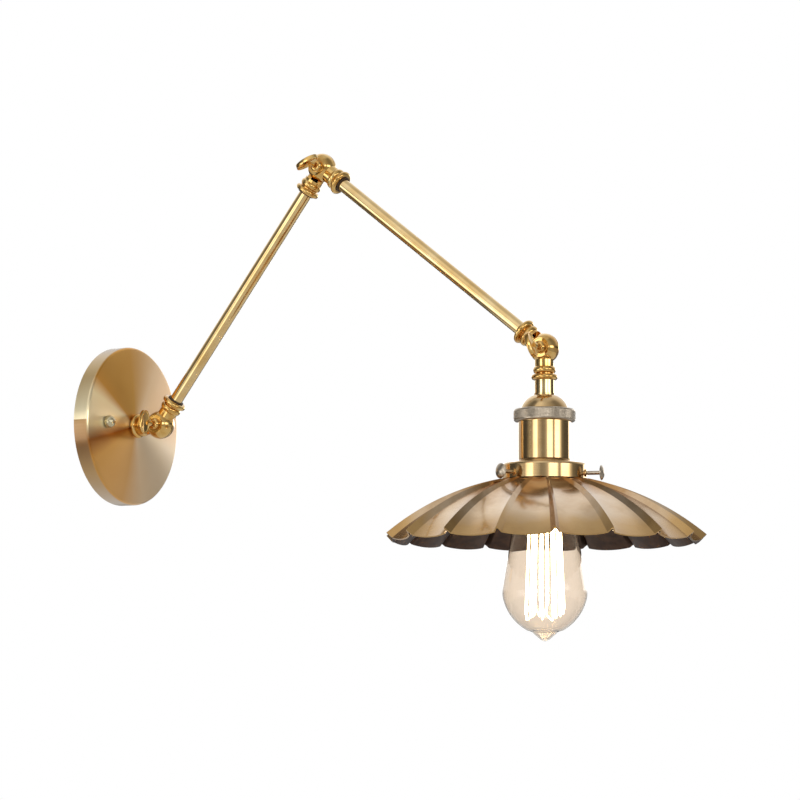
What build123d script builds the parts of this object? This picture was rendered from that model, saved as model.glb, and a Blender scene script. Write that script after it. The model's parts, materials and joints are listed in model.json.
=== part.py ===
# Swing arm wall lamp with two arms, three ball knuckles and a pleated metal shade.
# Millimetres. The origin is the centre of the wall plate on the wall; the lamp stands out
# along -Y, +Z is up, and both arms lie in the plane X = 0.
from build123d import *
import math
import os

os.makedirs("parts", exist_ok=True)

# Wall plate and the bracket behind it
plate_dia = 131.0
plate_depth = 15.5
plate_wall = 1.2
plate_edge_round = 2.0
bracket_thickness = 1.5
bracket_width = 18.0
bracket_span = 96.0
bracket_height = 108.0
bracket_hole_dia = 22.0
bracket_eye_dia = 28.0
box_slot_spacing = 73.0
box_slot_length = 21.5
box_slot_width = 4.6
stud_spacing = 80.0
stud_dia = 4.0
stud_nut_width = 7.0
stud_nut_height = 3.0
stud_end_gap = 2.2
cap_nut_dia = 10.0
cap_nut_height = 6.5
cap_nut_flange = 1.5
cap_nut_crown = 2.0
earth_screw_offset = 22.0
earth_screw_head_dia = 8.0
earth_screw_head_height = 2.6
earth_screw_slot = 1.0

# Swivel stem through the plate
stem_dia = 9.8
stem_bore_dia = 7.0
stem_nut_width = 14.0
stem_nut_height = 3.2
stem_end_reach = 0.8
spring_washer_dia = 15.0
spring_washer_thickness = 0.8

# Arms
arm_length = 251.6
lower_arm_rise = 53.0
upper_arm_fall = 38.9
rod_dia = 10.5
rod_bore_dia = 7.0
rod_washer_dia = 13.4
rod_washer_thickness = 0.8

# Ball knuckles, measured from the pivot along the neck
ball_dia = 23.0
ball_flat_dia = 14.8
ball_dish_dia = 13.6
ball_dish_depth = 0.6
cheek_gap = 0.5
hub_dia = 8.4
pocket_dia = 18.0
pocket_depth = 5.0
neck_dia = 14.8
bead_dia = 17.4
bead_start = 14.0
bead_end = 19.2
groove_dia = 14.4
collar_dia = 20.2
collar_start = 19.8
collar_end = 24.2
collar_bore_depth = 8.0
friction_washer_thickness = 0.4
neck_bore_start = 6.5

# Thumb screws of the knuckles
thumb_shank_dia = 5.0
thumb_boss_dia = 9.6
thumb_boss_length = 3.6
thumb_boss_round = 1.4
thumb_boss_taper = 1.6
thumb_waist_dia = 5.4
thumb_pad_length = 20.0
thumb_pad_width = 11.4
thumb_pad_thickness = 3.4
thumb_pad_centre = 24.0
thumb_pad_round = 1.4
thumb_pad_overlap = 1.5
thumb_pad_angles = {"wall": 3.0, "elbow": 65.0, "head": -18.0}
pivot_nut_dia = 9.0
pivot_nut_height = 4.4
pivot_nut_flange = 1.4
pivot_nut_crown = 1.2

# Socket and its cap, measured down from the head pivot
nipple_dia = 9.8
nipple_bore_dia = 7.0
spacer_dia = 15.0
spacer_start = 24.3
cap_lip_dia = 16.0
cap_start = 34.4
cap_lip_height = 1.4
cap_lip_step = 1.4
cap_dome_bulge = 6.8
cap_dome_bulge_height = 4.2
cap_skirt_dia = 36.2
cap_skirt_start = 46.0
cap_wall = 1.2
cap_bulge_inset = 0.9
cap_shoulder_drop = 1.6
nipple_nut_width = 13.0
nipple_nut_height = 3.0
nipple_reach = 1.0
ring_dia = 47.0
ring_start = 46.4
ring_end = 55.8
ring_corner = 1.6
shell_dia = 40.0
shell_wall = 1.0
shell_end = 84.4

# Lamp holder and bulb, measured down from the head pivot
holder_dia = 30.0
holder_start = 58.0
holder_end = 107.0
holder_floor = 78.0
holder_shoulder = 3.0
holder_chamfer = 5.0
holder_hole_offset = 7.0
screw_shell_wall = 0.4
contact_sheet = 0.6
contact_width = 5.0
contact_foot = -8.0
contact_bend = -2.0
contact_tip = 6.0
contact_drop = 0.7
bulb_cap_dia = 26.0
bulb_cap_start = 83.4
bulb_cap_end = 109.0
bulb_cap_wall = 0.5
bulb_cap_cone = 4.0
bulb_contact_dia = 9.6
bulb_contact_face = 6.0
bulb_contact_height = 2.4
bulb_dia = 63.6
bulb_widest = 184.6
bulb_tip_end = 220.7
bulb_tip_dia = 19.8
bulb_tip_line = ((6.9, 4.4), (2.6, 0.7))
bulb_tip_slope = 0.33
bulb_neck_dia = 24.6
bulb_wall = 0.8
bulb_floor = 1.0
bulb_taper = ((2.5, 8.4), (8.3, 18.0), (12.3, 28.5), (14.5, 42.0), (17.7, 61.0))
mount_dia = 7.0
mount_flare_dia = 18.6
mount_flare_height = 5.0
mount_neck_height = 12.0
mount_end = 128.0
filament_top = 131.0
filament_bottom = 206.5
filament_cage_dia = 28.0
filament_sweep = 330.0
filament_foot = 4.0
filament_wire_dia = 0.6
filament_runs = 16
filament_bend = 1.2

# Shade holder ring and its screws
fitter_dia = 64.4
fitter_wall = 1.5
fitter_shoulder = 88.0
fitter_end = 99.4
fitter_neck_dia = 39.2
fitter_round = 2.0
fitter_neck_flare = 2.5
fitter_neck_slope = 2.4
locking_ring_dia = 35.6
locking_ring_height = 3.2
fitter_screw_height = 95.4
fitter_screw_dia = 3.0
fitter_screw_head_dia = 11.4
fitter_screw_head_height = 3.4
fitter_screw_reach = 46.5
fitter_screw_boss_dia = 5.6
fitter_screw_boss_height = 1.0
fitter_screw_rim = 1.2
fitter_screw_angle = 157.2
fitter_screw_count = 3

# Shade, measured down from the head pivot
shade_dia = 241.3
shade_sheet = 1.0
shade_pleats = 18
shade_rib_angle = 8.2
shade_lip_dia = 57.0
shade_lip_start = 91.0
shade_crown_radius = 34.0
shade_crown_height = 101.0
shade_crest_height = 99.4
shade_crest_slope = 11.5
shade_crest_radius = 195.0
shade_depth_top = 2.6
shade_depth_rim = 7.2
shade_flank_share = 0.18
shade_flank_drop = 0.70
shade_flank_past = 0.12
shade_first_depth = 0.35
shade_first_drop = 1.8
shade_lip_run = 1.0
pleat_radii = [40.0, 54.0, 70.0, 87.0, 104.0, shade_dia / 2]

# Cable
cable_dia = 3.0
cable_pivot_gap = 5.0
cable_cross_share = 0.3
cable_end_reach = 1.0
head_cable_gap = 4.0
lead_dia = 1.3
lead_spread = 0.6
lead_split = 3.4
lead_depth = 9.0
connector_dia = 9.0
connector_length = 18.0
connector_offset = 5.6
connector_start = 14.0
connector_socket = 10.0
connector_band = 9.0
connector_taper = 1.6
connector_mouth_round = 0.5
connector_tip_round = 1.0
cable_long_bend = 300.0
lead_bend = 1.6

# Clearances between neighbours
slip = 0.05
loose = 0.3
face_gap = 0.15
cut_past = 1.0

# Derived sizes and places
plate_stand_off = plate_depth + collar_end + loose
out_from_wall = Vector(0, -1, 0)
to_wall = Vector(0, 1, 0)
down = Vector(0, 0, -1)
pivot_axis = Vector(1, 0, 0)
lower_rise = math.radians(lower_arm_rise)
upper_fall = math.radians(upper_arm_fall)
lower_direction = Vector(0, -math.cos(lower_rise), math.sin(lower_rise))
upper_direction = Vector(0, -math.cos(upper_fall), -math.sin(upper_fall))
wall_pivot = out_from_wall * plate_stand_off
elbow_pivot = wall_pivot + lower_direction * arm_length
head_pivot = elbow_pivot + upper_direction * arm_length
ball_radius = ball_dia / 2
front_side = -1
rear_side = 1

# The floor of the dish in a ball's flat, measured from the arm plane
dish_floor = math.sqrt(ball_radius**2 - (ball_flat_dia / 2)**2) - ball_dish_depth
near_hole_dia = thumb_shank_dia + 2 * loose
far_hole_dia = thumb_shank_dia + 2 * slip
tube_seat = collar_end - collar_bore_depth + face_gap
cable_side = pivot_axis * (stem_bore_dia / 2 - cable_dia / 2 - slip)


# The level direction at an angle about the head's upright line
def radial(angle):
    return Vector(math.cos(math.radians(angle)), math.sin(math.radians(angle)), 0)


# The plane that holds a line of turning: local x runs across it, local y along it.
def turning_plane(origin, direction):
    across = Vector(0, 0, 1) if abs(direction.X) > 1e-6 else Vector(1, 0, 0)
    return Plane(origin=origin, x_dir=across, z_dir=across.cross(direction))


# Turns an outline of (radius, height) or (radius, height, rounding) points about the line
# that leaves origin along direction.
def turn(outline, origin, direction, mode=Mode.ADD):
    with BuildSketch(turning_plane(origin, direction)) as section:
        with BuildLine():
            Polyline(*[point[:2] for point in outline], close=True)
        make_face()
        for point in outline:
            if len(point) > 2:
                corner = section.vertices().sort_by_distance((point[0], point[1], 0))[0]
                fillet(corner, point[2])
    revolve(section.sketch, axis=Axis(origin, direction), mode=mode)


# A turned sleeve, or a plain rod where the inner diameter is zero.
def sleeve(outer_dia, inner_dia, start, end, origin, direction, mode=Mode.ADD):
    inner = inner_dia / 2
    outer = outer_dia / 2
    turn([(inner, start), (outer, start), (outer, end), (inner, end)], origin, direction, mode)


# A hexagon nut on the line that leaves origin along direction.
def hex_nut(width, hole_dia, start, end, origin, direction):
    seat = Plane(origin=origin + direction * start, x_dir=turning_plane(origin, direction).x_dir,
                 z_dir=direction)
    with BuildSketch(seat) as section:
        RegularPolygon(width / 2, 6, major_radius=False)
        Circle(hole_dia / 2, mode=Mode.SUBTRACT)
    extrude(section.sketch, amount=end - start)


# The middle of a spherical cap's outline, which falls from its top by rise out to a radius.
def cap_middle(radius, rise, top):
    ball = (radius**2 + rise**2) / (2 * rise)
    half_turn = math.acos((ball - rise) / ball) / 2
    return ball * math.sin(half_turn), top - ball + ball * math.cos(half_turn)


# A domed nut with a blind thread.
def dome_nut(dia, flange, height, thread_dia, thread_depth, start, origin, direction):
    radius = dia / 2
    top = start + height
    middle = cap_middle(radius, height - flange, top)
    with BuildSketch(turning_plane(origin, direction)) as section:
        with BuildLine():
            Polyline((0, top), (0, start), (radius, start), (radius, start + flange))
            ThreePointArc((radius, start + flange), middle, (0, top))
        make_face()
    revolve(section.sketch, axis=Axis(origin, direction))
    sleeve(thread_dia, 0, start - cut_past, start + thread_depth, origin, direction, Mode.SUBTRACT)


# A round wire or cable along a route of straight runs joined by arcs.
def wire(points, bend, dia):
    with BuildLine() as route:
        FilletPolyline(*points, radius=bend)
    with BuildSketch(Plane(origin=route.line @ 0, z_dir=route.line % 0)) as section:
        Circle(dia / 2)
    sweep(section.sketch, path=route.line)


# One half of a ball knuckle: half a ball on its own side of the arm plane, with a dished flat
# for the screw, a pocket for the cable round the hub, and a beaded neck and collar that carry
# the tube. The neck starts clear of the ball of the other half.
def knuckle_half(pivot, direction, side, screw_hole_dia, tube_dia):
    outward = pivot_axis * side
    flat_height = math.sqrt(ball_radius**2 - (ball_flat_dia / 2)**2)
    neck_start = ball_radius + loose + slip
    with Locations(pivot):
        Sphere(ball_radius)
    sleeve(neck_dia, 0, ball_radius / 2, neck_start + cut_past, pivot, direction)
    split(bisect_by=Plane(origin=pivot + outward * cheek_gap / 2, z_dir=outward), keep=Keep.TOP)
    split(bisect_by=Plane(origin=pivot + outward * flat_height, z_dir=-outward), keep=Keep.TOP)
    collar_round = (collar_end - collar_start) / 2
    collar_flat = collar_dia / 2 - collar_round
    with BuildSketch(turning_plane(pivot, direction)) as neck_section:
        with BuildLine():
            Polyline((0, collar_end), (0, neck_start), (neck_dia / 2, neck_start),
                     (neck_dia / 2, bead_start))
            ThreePointArc((neck_dia / 2, bead_start), (bead_dia / 2, (bead_start + bead_end) / 2),
                          (groove_dia / 2, bead_end))
            Polyline((groove_dia / 2, bead_end), (groove_dia / 2, collar_start),
                     (collar_flat, collar_start))
            ThreePointArc((collar_flat, collar_start), (collar_dia / 2, collar_start + collar_round),
                          (collar_flat, collar_end))
            Line((collar_flat, collar_end), (0, collar_end))
        make_face()
    revolve(neck_section.sketch, axis=Axis(pivot, direction))
    sleeve(ball_dish_dia, 0, flat_height - ball_dish_depth, flat_height + cut_past, pivot, outward,
           Mode.SUBTRACT)
    sleeve(pocket_dia, hub_dia, 0, cheek_gap / 2 + pocket_depth, pivot, outward, Mode.SUBTRACT)
    sleeve(screw_hole_dia, 0, 0, ball_radius, pivot, outward, Mode.SUBTRACT)
    sleeve(stem_bore_dia, 0, neck_bore_start, collar_end + cut_past, pivot, direction,
           Mode.SUBTRACT)
    sleeve(tube_dia + 2 * slip, 0, collar_end - collar_bore_depth, collar_end + cut_past, pivot,
           direction, Mode.SUBTRACT)


# Wall plate: a shallow spun pan, open to the wall
with BuildPart() as back_plate:
    turn([(0, plate_depth - plate_wall), (plate_dia / 2 - plate_wall, plate_depth - plate_wall),
          (plate_dia / 2 - plate_wall, 0), (plate_dia / 2, 0),
          (plate_dia / 2, plate_depth, plate_edge_round), (0, plate_depth)],
         Vector(0, 0, 0), out_from_wall)
    sleeve(stem_dia + 2 * slip, 0, 0, plate_depth + cut_past, Vector(0, 0, 0), out_from_wall,
           Mode.SUBTRACT)
    for stud_side in (-1, 1):
        stud_foot = Vector(stud_side * stud_spacing / 2, 0, 0)
        sleeve(stud_dia + 2 * loose, 0, 0, plate_depth + cut_past, stud_foot, out_from_wall,
               Mode.SUBTRACT)
back_plate.part.label = "back_plate"
export_step(back_plate.part, "parts/back_plate.step")

# Crossed strap that screws to the wall box and carries the plate's studs
with BuildPart() as wall_bracket:
    with BuildSketch(Plane.XZ):
        RectangleRounded(bracket_span, bracket_width, bracket_width / 4)
        RectangleRounded(bracket_width, bracket_height, bracket_width / 4)
        Circle(bracket_eye_dia / 2)
        Circle(bracket_hole_dia / 2, mode=Mode.SUBTRACT)
        with Locations((-stud_spacing / 2, 0), (stud_spacing / 2, 0)):
            Circle(stud_dia / 2 + slip, mode=Mode.SUBTRACT)
        with Locations((-earth_screw_offset, 0)):
            Circle(stud_dia / 2 + slip, mode=Mode.SUBTRACT)
        with Locations((0, -box_slot_spacing / 2), (0, box_slot_spacing / 2)):
            SlotOverall(box_slot_length, box_slot_width, rotation=90, mode=Mode.SUBTRACT)
    extrude(amount=bracket_thickness)
wall_bracket.part.label = "wall_bracket"
export_step(wall_bracket.part, "parts/wall_bracket.step")

# Two studs, threaded through the bracket and out through the plate
with BuildPart() as plate_studs:
    for stud_side in (-1, 1):
        stud_foot = Vector(stud_side * stud_spacing / 2, 0, 0)
        sleeve(stud_dia, 0, 0, plate_depth + cap_nut_height - stud_end_gap, stud_foot, out_from_wall)
plate_studs.part.label = "plate_studs"
export_step(plate_studs.part, "parts/plate_studs.step")

# Nuts that lock the studs against the bracket
with BuildPart() as stud_nuts:
    for stud_side in (-1, 1):
        stud_foot = Vector(stud_side * stud_spacing / 2, 0, 0)
        hex_nut(stud_nut_width, stud_dia + 2 * slip, bracket_thickness + slip,
                bracket_thickness + slip + stud_nut_height, stud_foot, out_from_wall)
stud_nuts.part.label = "stud_nuts"
export_step(stud_nuts.part, "parts/stud_nuts.step")

# Round cap nuts that clamp the plate on its studs
with BuildPart() as cap_nuts:
    for stud_side in (-1, 1):
        stud_foot = Vector(stud_side * stud_spacing / 2, 0, 0)
        dome_nut(cap_nut_dia, cap_nut_flange, cap_nut_height, stud_dia + 2 * slip,
                 cap_nut_height - cap_nut_crown, plate_depth + slip, stud_foot, out_from_wall)
cap_nuts.part.label = "cap_nuts"
export_step(cap_nuts.part, "parts/cap_nuts.step")

# Earth screw on the bracket
earth_screw_top = bracket_thickness + earth_screw_head_height
with BuildPart() as earth_screw:
    screw_place = Vector(-earth_screw_offset, 0, 0)
    turn([(0, 0), (stud_dia / 2, 0), (stud_dia / 2, bracket_thickness + slip),
          (earth_screw_head_dia / 2, bracket_thickness + slip),
          (earth_screw_head_dia / 2, earth_screw_top, earth_screw_slot), (0, earth_screw_top)],
         screw_place, out_from_wall)
    with BuildSketch(Plane.XZ.offset(earth_screw_top - earth_screw_slot)):
        with Locations((-earth_screw_offset, 0)):
            Rectangle(earth_screw_head_dia, earth_screw_slot)
    extrude(amount=earth_screw_slot, mode=Mode.SUBTRACT)
earth_screw.part.label = "earth_screw"
export_step(earth_screw.part, "parts/earth_screw.step")

# Threaded tube that turns in the plate and carries the wall knuckle
nut_face = plate_depth - plate_wall - loose - spring_washer_thickness
with BuildPart() as swivel_stem:
    sleeve(stem_dia, stem_bore_dia, nut_face - stem_nut_height - stem_end_reach,
           plate_stand_off - tube_seat, Vector(0, 0, 0), out_from_wall)
swivel_stem.part.label = "swivel_stem"
export_step(swivel_stem.part, "parts/swivel_stem.step")

# Spring washer under the plate, pressed by the stem's nut
with BuildPart() as spring_washer:
    sleeve(spring_washer_dia, stem_dia + 2 * slip, nut_face,
           nut_face + spring_washer_thickness, Vector(0, 0, 0), out_from_wall)
spring_washer.part.label = "spring_washer"
export_step(spring_washer.part, "parts/spring_washer.step")

with BuildPart() as stem_nut:
    hex_nut(stem_nut_width, stem_dia + 2 * slip, nut_face - slip - stem_nut_height,
            nut_face - slip, Vector(0, 0, 0), out_from_wall)
stem_nut.part.label = "stem_nut"
export_step(stem_nut.part, "parts/stem_nut.step")

# The six knuckle halves. The front half of each knuckle takes the shank through a clear hole
# and the rear half holds its thread.
with BuildPart() as wall_knuckle_rear:
    knuckle_half(wall_pivot, to_wall, rear_side, far_hole_dia, stem_dia)
wall_knuckle_rear.part.label = "wall_knuckle_rear"
export_step(wall_knuckle_rear.part, "parts/wall_knuckle_rear.step")

with BuildPart() as wall_knuckle_front:
    knuckle_half(wall_pivot, lower_direction, front_side, near_hole_dia, rod_dia)
wall_knuckle_front.part.label = "wall_knuckle_front"
export_step(wall_knuckle_front.part, "parts/wall_knuckle_front.step")

with BuildPart() as elbow_rear:
    knuckle_half(elbow_pivot, -lower_direction, rear_side, far_hole_dia, rod_dia)
elbow_rear.part.label = "elbow_rear"
export_step(elbow_rear.part, "parts/elbow_rear.step")

with BuildPart() as elbow_front:
    knuckle_half(elbow_pivot, upper_direction, front_side, near_hole_dia, rod_dia)
elbow_front.part.label = "elbow_front"
export_step(elbow_front.part, "parts/elbow_front.step")

with BuildPart() as head_knuckle_rear:
    knuckle_half(head_pivot, -upper_direction, rear_side, far_hole_dia, rod_dia)
head_knuckle_rear.part.label = "head_knuckle_rear"
export_step(head_knuckle_rear.part, "parts/head_knuckle_rear.step")

with BuildPart() as head_knuckle_front:
    knuckle_half(head_pivot, down, front_side, near_hole_dia, nipple_dia)
head_knuckle_front.part.label = "head_knuckle_front"
export_step(head_knuckle_front.part, "parts/head_knuckle_front.step")

# Arm tubes, each seated in the collars at its two ends, with a thin dark washer at each collar
for arm, start_pivot, direction in (("lower", wall_pivot, lower_direction),
                                    ("upper", elbow_pivot, upper_direction)):
    with BuildPart() as arm_rod:
        sleeve(rod_dia, rod_bore_dia, tube_seat, arm_length - tube_seat, start_pivot, direction)
    arm_rod.part.label = f"{arm}_arm_rod"
    export_step(arm_rod.part, f"parts/{arm}_arm_rod.step")

    with BuildPart() as rod_washers:
        for washer_start in (collar_end + slip,
                             arm_length - collar_end - slip - rod_washer_thickness):
            sleeve(rod_washer_dia, rod_dia + 2 * slip, washer_start,
                   washer_start + rod_washer_thickness, start_pivot, direction)
    rod_washers.part.label = f"{arm}_rod_washers"
    export_step(rod_washers.part, f"parts/{arm}_rod_washers.step")

# Per knuckle: the friction washer between its halves, the thumb screw and the domed nut behind
for joint, pivot in (("wall", wall_pivot), ("elbow", elbow_pivot), ("head", head_pivot)):
    with BuildPart() as friction_washer:
        sleeve(hub_dia, far_hole_dia, -friction_washer_thickness / 2,
               friction_washer_thickness / 2, pivot, pivot_axis)
    friction_washer.part.label = f"{joint}_friction_washer"
    export_step(friction_washer.part, f"parts/{joint}_friction_washer.step")

    boss_start = dish_floor + face_gap
    boss_end = boss_start + thumb_boss_length
    pad_start = thumb_pad_centre - thumb_pad_width / 2
    shank_end = -dish_floor - pivot_nut_height + 2 * pivot_nut_crown
    pad_turn = math.radians(thumb_pad_angles[joint])
    pad_up = Vector(0, -math.sin(pad_turn), math.cos(pad_turn))
    pad_normal = pad_up.cross(pivot_axis)
    pad_middle = pivot - pivot_axis * thumb_pad_centre
    with BuildPart() as thumb_pad:
        with BuildSketch(Plane(origin=pad_middle, x_dir=pad_up, z_dir=pad_normal)):
            Ellipse(thumb_pad_length / 2, thumb_pad_width / 2)
        extrude(amount=thumb_pad_thickness / 2, both=True)
        fillet(thumb_pad.edges().filter_by(GeomType.ELLIPSE), thumb_pad_round)

    with BuildPart() as thumb_screw:
        turn([(0, shank_end), (thumb_shank_dia / 2, shank_end),
              (thumb_shank_dia / 2, boss_start), (thumb_boss_dia / 2, boss_start),
              (thumb_boss_dia / 2, boss_end, thumb_boss_round),
              (thumb_waist_dia / 2, boss_end + thumb_boss_taper),
              (thumb_waist_dia / 2, pad_start + thumb_pad_overlap),
              (0, pad_start + thumb_pad_overlap)],
             pivot, -pivot_axis)
        add(thumb_pad.part)
    thumb_screw.part.label = f"{joint}_thumb_screw"
    export_step(thumb_screw.part, f"parts/{joint}_thumb_screw.step")

    with BuildPart() as pivot_nut:
        dome_nut(pivot_nut_dia, pivot_nut_flange, pivot_nut_height, thumb_shank_dia + 2 * slip,
                 pivot_nut_height - pivot_nut_crown, dish_floor + slip, pivot, pivot_axis)
    pivot_nut.part.label = f"{joint}_pivot_nut"
    export_step(pivot_nut.part, f"parts/{joint}_pivot_nut.step")

# Head: threaded tube, spacer, domed cap and the nut inside it
dome_start = cap_start + cap_lip_height
cap_floor = dome_start + cap_wall
nipple_end = cap_floor + nipple_nut_height + nipple_reach
with BuildPart() as head_nipple:
    sleeve(nipple_dia, nipple_bore_dia, tube_seat, nipple_end, head_pivot, down)
head_nipple.part.label = "head_nipple"
export_step(head_nipple.part, "parts/head_nipple.step")

with BuildPart() as head_spacer:
    sleeve(spacer_dia, nipple_dia + 2 * slip, spacer_start, cap_start - slip, head_pivot, down)
head_spacer.part.label = "head_spacer"
export_step(head_spacer.part, "parts/head_spacer.step")

# Cap: a small lip, then a dome down to a skirt with a flange that the grip ring clamps
flange_radius = shell_dia / 2 - slip
flange_top = ring_start + cap_wall + slip
with BuildPart() as socket_cap:
    lip = cap_lip_dia / 2
    skirt = cap_skirt_dia / 2
    shoulder = lip + cap_lip_step
    inner_shoulder = shoulder - cap_wall / 2
    bulge = (lip + cap_dome_bulge, dome_start + cap_dome_bulge_height)
    inner_bulge = (bulge[0] - cap_bulge_inset, bulge[1] + cap_bulge_inset)
    with BuildSketch(turning_plane(head_pivot, down)) as cap_section:
        with BuildLine():
            Polyline((nipple_dia / 2 + slip, cap_floor),
                     (nipple_dia / 2 + slip, cap_start), (lip, cap_start), (lip, dome_start),
                     (shoulder, dome_start + cap_wall / 4))
            ThreePointArc((shoulder, dome_start + cap_wall / 4), bulge, (skirt, cap_skirt_start))
            Polyline((skirt, cap_skirt_start), (skirt, flange_top), (flange_radius, flange_top),
                     (flange_radius, flange_top + cap_wall),
                     (skirt - cap_wall, flange_top + cap_wall),
                     (skirt - cap_wall, cap_skirt_start))
            ThreePointArc((skirt - cap_wall, cap_skirt_start), inner_bulge,
                          (inner_shoulder, dome_start + cap_shoulder_drop))
            Polyline((inner_shoulder, dome_start + cap_shoulder_drop),
                     (inner_shoulder, cap_floor), (nipple_dia / 2 + slip, cap_floor))
        make_face()
    revolve(cap_section.sketch, axis=Axis(head_pivot, down))
socket_cap.part.label = "socket_cap"
export_step(socket_cap.part, "parts/socket_cap.step")

with BuildPart() as nipple_nut:
    hex_nut(nipple_nut_width, nipple_dia + 2 * slip, cap_floor + slip,
            cap_floor + slip + nipple_nut_height, head_pivot, down)
nipple_nut.part.label = "nipple_nut"
export_step(nipple_nut.part, "parts/nipple_nut.step")

# Knurled ring that clamps the cap to the socket shell
with BuildPart() as knurled_ring:
    turn([(cap_skirt_dia / 2 + loose, ring_start), (ring_dia / 2, ring_start, ring_corner),
          (ring_dia / 2, ring_end, ring_corner), (shell_dia / 2 + slip, ring_end),
          (shell_dia / 2 + slip, ring_start + cap_wall), (cap_skirt_dia / 2 + loose,
          ring_start + cap_wall)], head_pivot, down)
knurled_ring.part.label = "knurled_ring"
export_step(knurled_ring.part, "parts/knurled_ring.step")

# Socket shell with an inward floor that the lamp holder passes through
shell_start = flange_top + cap_wall + slip
with BuildPart() as socket_shell:
    turn([(shell_dia / 2 - shell_wall, shell_start), (shell_dia / 2, shell_start),
          (shell_dia / 2, shell_end), (holder_dia / 2 + slip, shell_end),
          (holder_dia / 2 + slip, shell_end - shell_wall),
          (shell_dia / 2 - shell_wall, shell_end - shell_wall)], head_pivot, down)
socket_shell.part.label = "socket_shell"
export_step(socket_shell.part, "parts/socket_shell.step")

# Lamp holder: an insulating cup with a floor, a shoulder on the shell's floor, and cable holes
screw_shell_dia = bulb_cap_dia + 2 * (screw_shell_wall + slip)
with BuildPart() as lamp_holder:
    turn([(0, holder_start), (holder_dia / 2 - holder_shoulder, holder_start),
          (holder_dia / 2 + holder_shoulder, holder_start + holder_chamfer),
          (holder_dia / 2 + holder_shoulder, shell_end - shell_wall - slip),
          (holder_dia / 2, shell_end - shell_wall - slip), (holder_dia / 2, holder_end),
          (screw_shell_dia / 2 + slip, holder_end), (screw_shell_dia / 2 + slip, holder_floor),
          (0, holder_floor)], head_pivot, down)
    for hole_side in (-1, 1):
        sleeve(lead_dia + 2 * slip, 0, holder_start - cut_past, holder_floor + cut_past,
               head_pivot + Vector(0, hole_side * holder_hole_offset, 0), down, Mode.SUBTRACT)
lamp_holder.part.label = "lamp_holder"
export_step(lamp_holder.part, "parts/lamp_holder.step")

with BuildPart() as screw_shell:
    sleeve(screw_shell_dia, bulb_cap_dia + 2 * slip, holder_floor + slip, holder_end - cut_past,
           head_pivot, down)
screw_shell.part.label = "screw_shell"
export_step(screw_shell.part, "parts/screw_shell.step")

# Centre contact: a sprung tongue that stands on the holder's floor and reaches to the bulb
with BuildPart() as centre_contact:
    foot_level = -holder_floor - contact_sheet / 2 - slip
    tip_level = -bulb_cap_start + contact_sheet / 2 + slip
    with BuildSketch(Plane(origin=head_pivot, x_dir=(1, 0, 0), z_dir=(0, -1, 0))) as tongue:
        with BuildLine():
            Polyline((contact_foot, foot_level), (contact_bend, foot_level),
                     (contact_bend + contact_tip * contact_drop, tip_level),
                     (contact_tip, tip_level))
            offset(amount=contact_sheet / 2, side=Side.BOTH)
        make_face()
    extrude(tongue.sketch, amount=contact_width / 2, both=True)
centre_contact.part.label = "centre_contact"
export_step(centre_contact.part, "parts/centre_contact.step")

# Shade holder: neck flange under the shell, sloping shoulder and deep ring
fitter_screws = [fitter_screw_angle + 360 / fitter_screw_count * step
                 for step in range(fitter_screw_count)]
screw_level = head_pivot + down * fitter_screw_height
fitter_radius = fitter_dia / 2
with BuildPart() as shade_fitter:
    flange_start = shell_end + slip
    fitter_neck = fitter_neck_dia / 2
    turn([(holder_dia / 2 + slip, flange_start), (fitter_neck, flange_start),
          (fitter_neck + fitter_neck_flare, fitter_shoulder - fitter_neck_slope),
          (fitter_radius, fitter_shoulder, fitter_round),
          (fitter_radius, fitter_end), (fitter_radius - fitter_wall, fitter_end),
          (fitter_radius - fitter_wall, fitter_shoulder + fitter_wall),
          (fitter_neck + fitter_neck_flare, fitter_shoulder + fitter_wall - fitter_neck_slope),
          (fitter_neck, flange_start + fitter_wall),
          (holder_dia / 2 + slip, flange_start + fitter_wall)], head_pivot, down)
    for angle in fitter_screws:
        sleeve(fitter_screw_boss_dia, 0, fitter_radius - fitter_wall / 2,
               fitter_radius + fitter_screw_boss_height,
               screw_level, radial(angle))
    for angle in fitter_screws:
        sleeve(fitter_screw_dia + 2 * slip, 0, fitter_radius - fitter_wall - cut_past,
               fitter_radius + 2 * fitter_screw_boss_height, screw_level, radial(angle),
               Mode.SUBTRACT)
shade_fitter.part.label = "shade_fitter"
export_step(shade_fitter.part, "parts/shade_fitter.step")

# Ring on the holder's thread that clamps the shade holder to the shell
locking_start = shell_end + fitter_wall + 3 * slip
with BuildPart() as locking_ring:
    sleeve(locking_ring_dia, holder_dia + 2 * slip, locking_start,
           locking_start + locking_ring_height, head_pivot, down)
locking_ring.part.label = "locking_ring"
export_step(locking_ring.part, "parts/locking_ring.step")

# Three thumb screws that hold the shade's lip
screw_tip = shade_lip_dia / 2 + loose
head_start = fitter_screw_reach - fitter_screw_head_height
head_radius = fitter_screw_head_dia / 2
for index, angle in enumerate(fitter_screws, start=1):
    with BuildPart() as fitter_screw:
        shank = fitter_screw_dia / 2
        rim_start = head_start + fitter_screw_rim
        middle = cap_middle(head_radius, fitter_screw_reach - rim_start, fitter_screw_reach)
        with BuildSketch(turning_plane(screw_level, radial(angle))) as screw_section:
            with BuildLine():
                Polyline((0, fitter_screw_reach), (0, screw_tip), (shank, screw_tip),
                         (shank, head_start), (head_radius, rim_start))
                ThreePointArc((head_radius, rim_start), middle, (0, fitter_screw_reach))
            make_face()
        revolve(screw_section.sketch, axis=Axis(screw_level, radial(angle)))
    fitter_screw.part.label = f"fitter_screw_{index}"
    export_step(fitter_screw.part, f"parts/fitter_screw_{index}.step")

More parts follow.
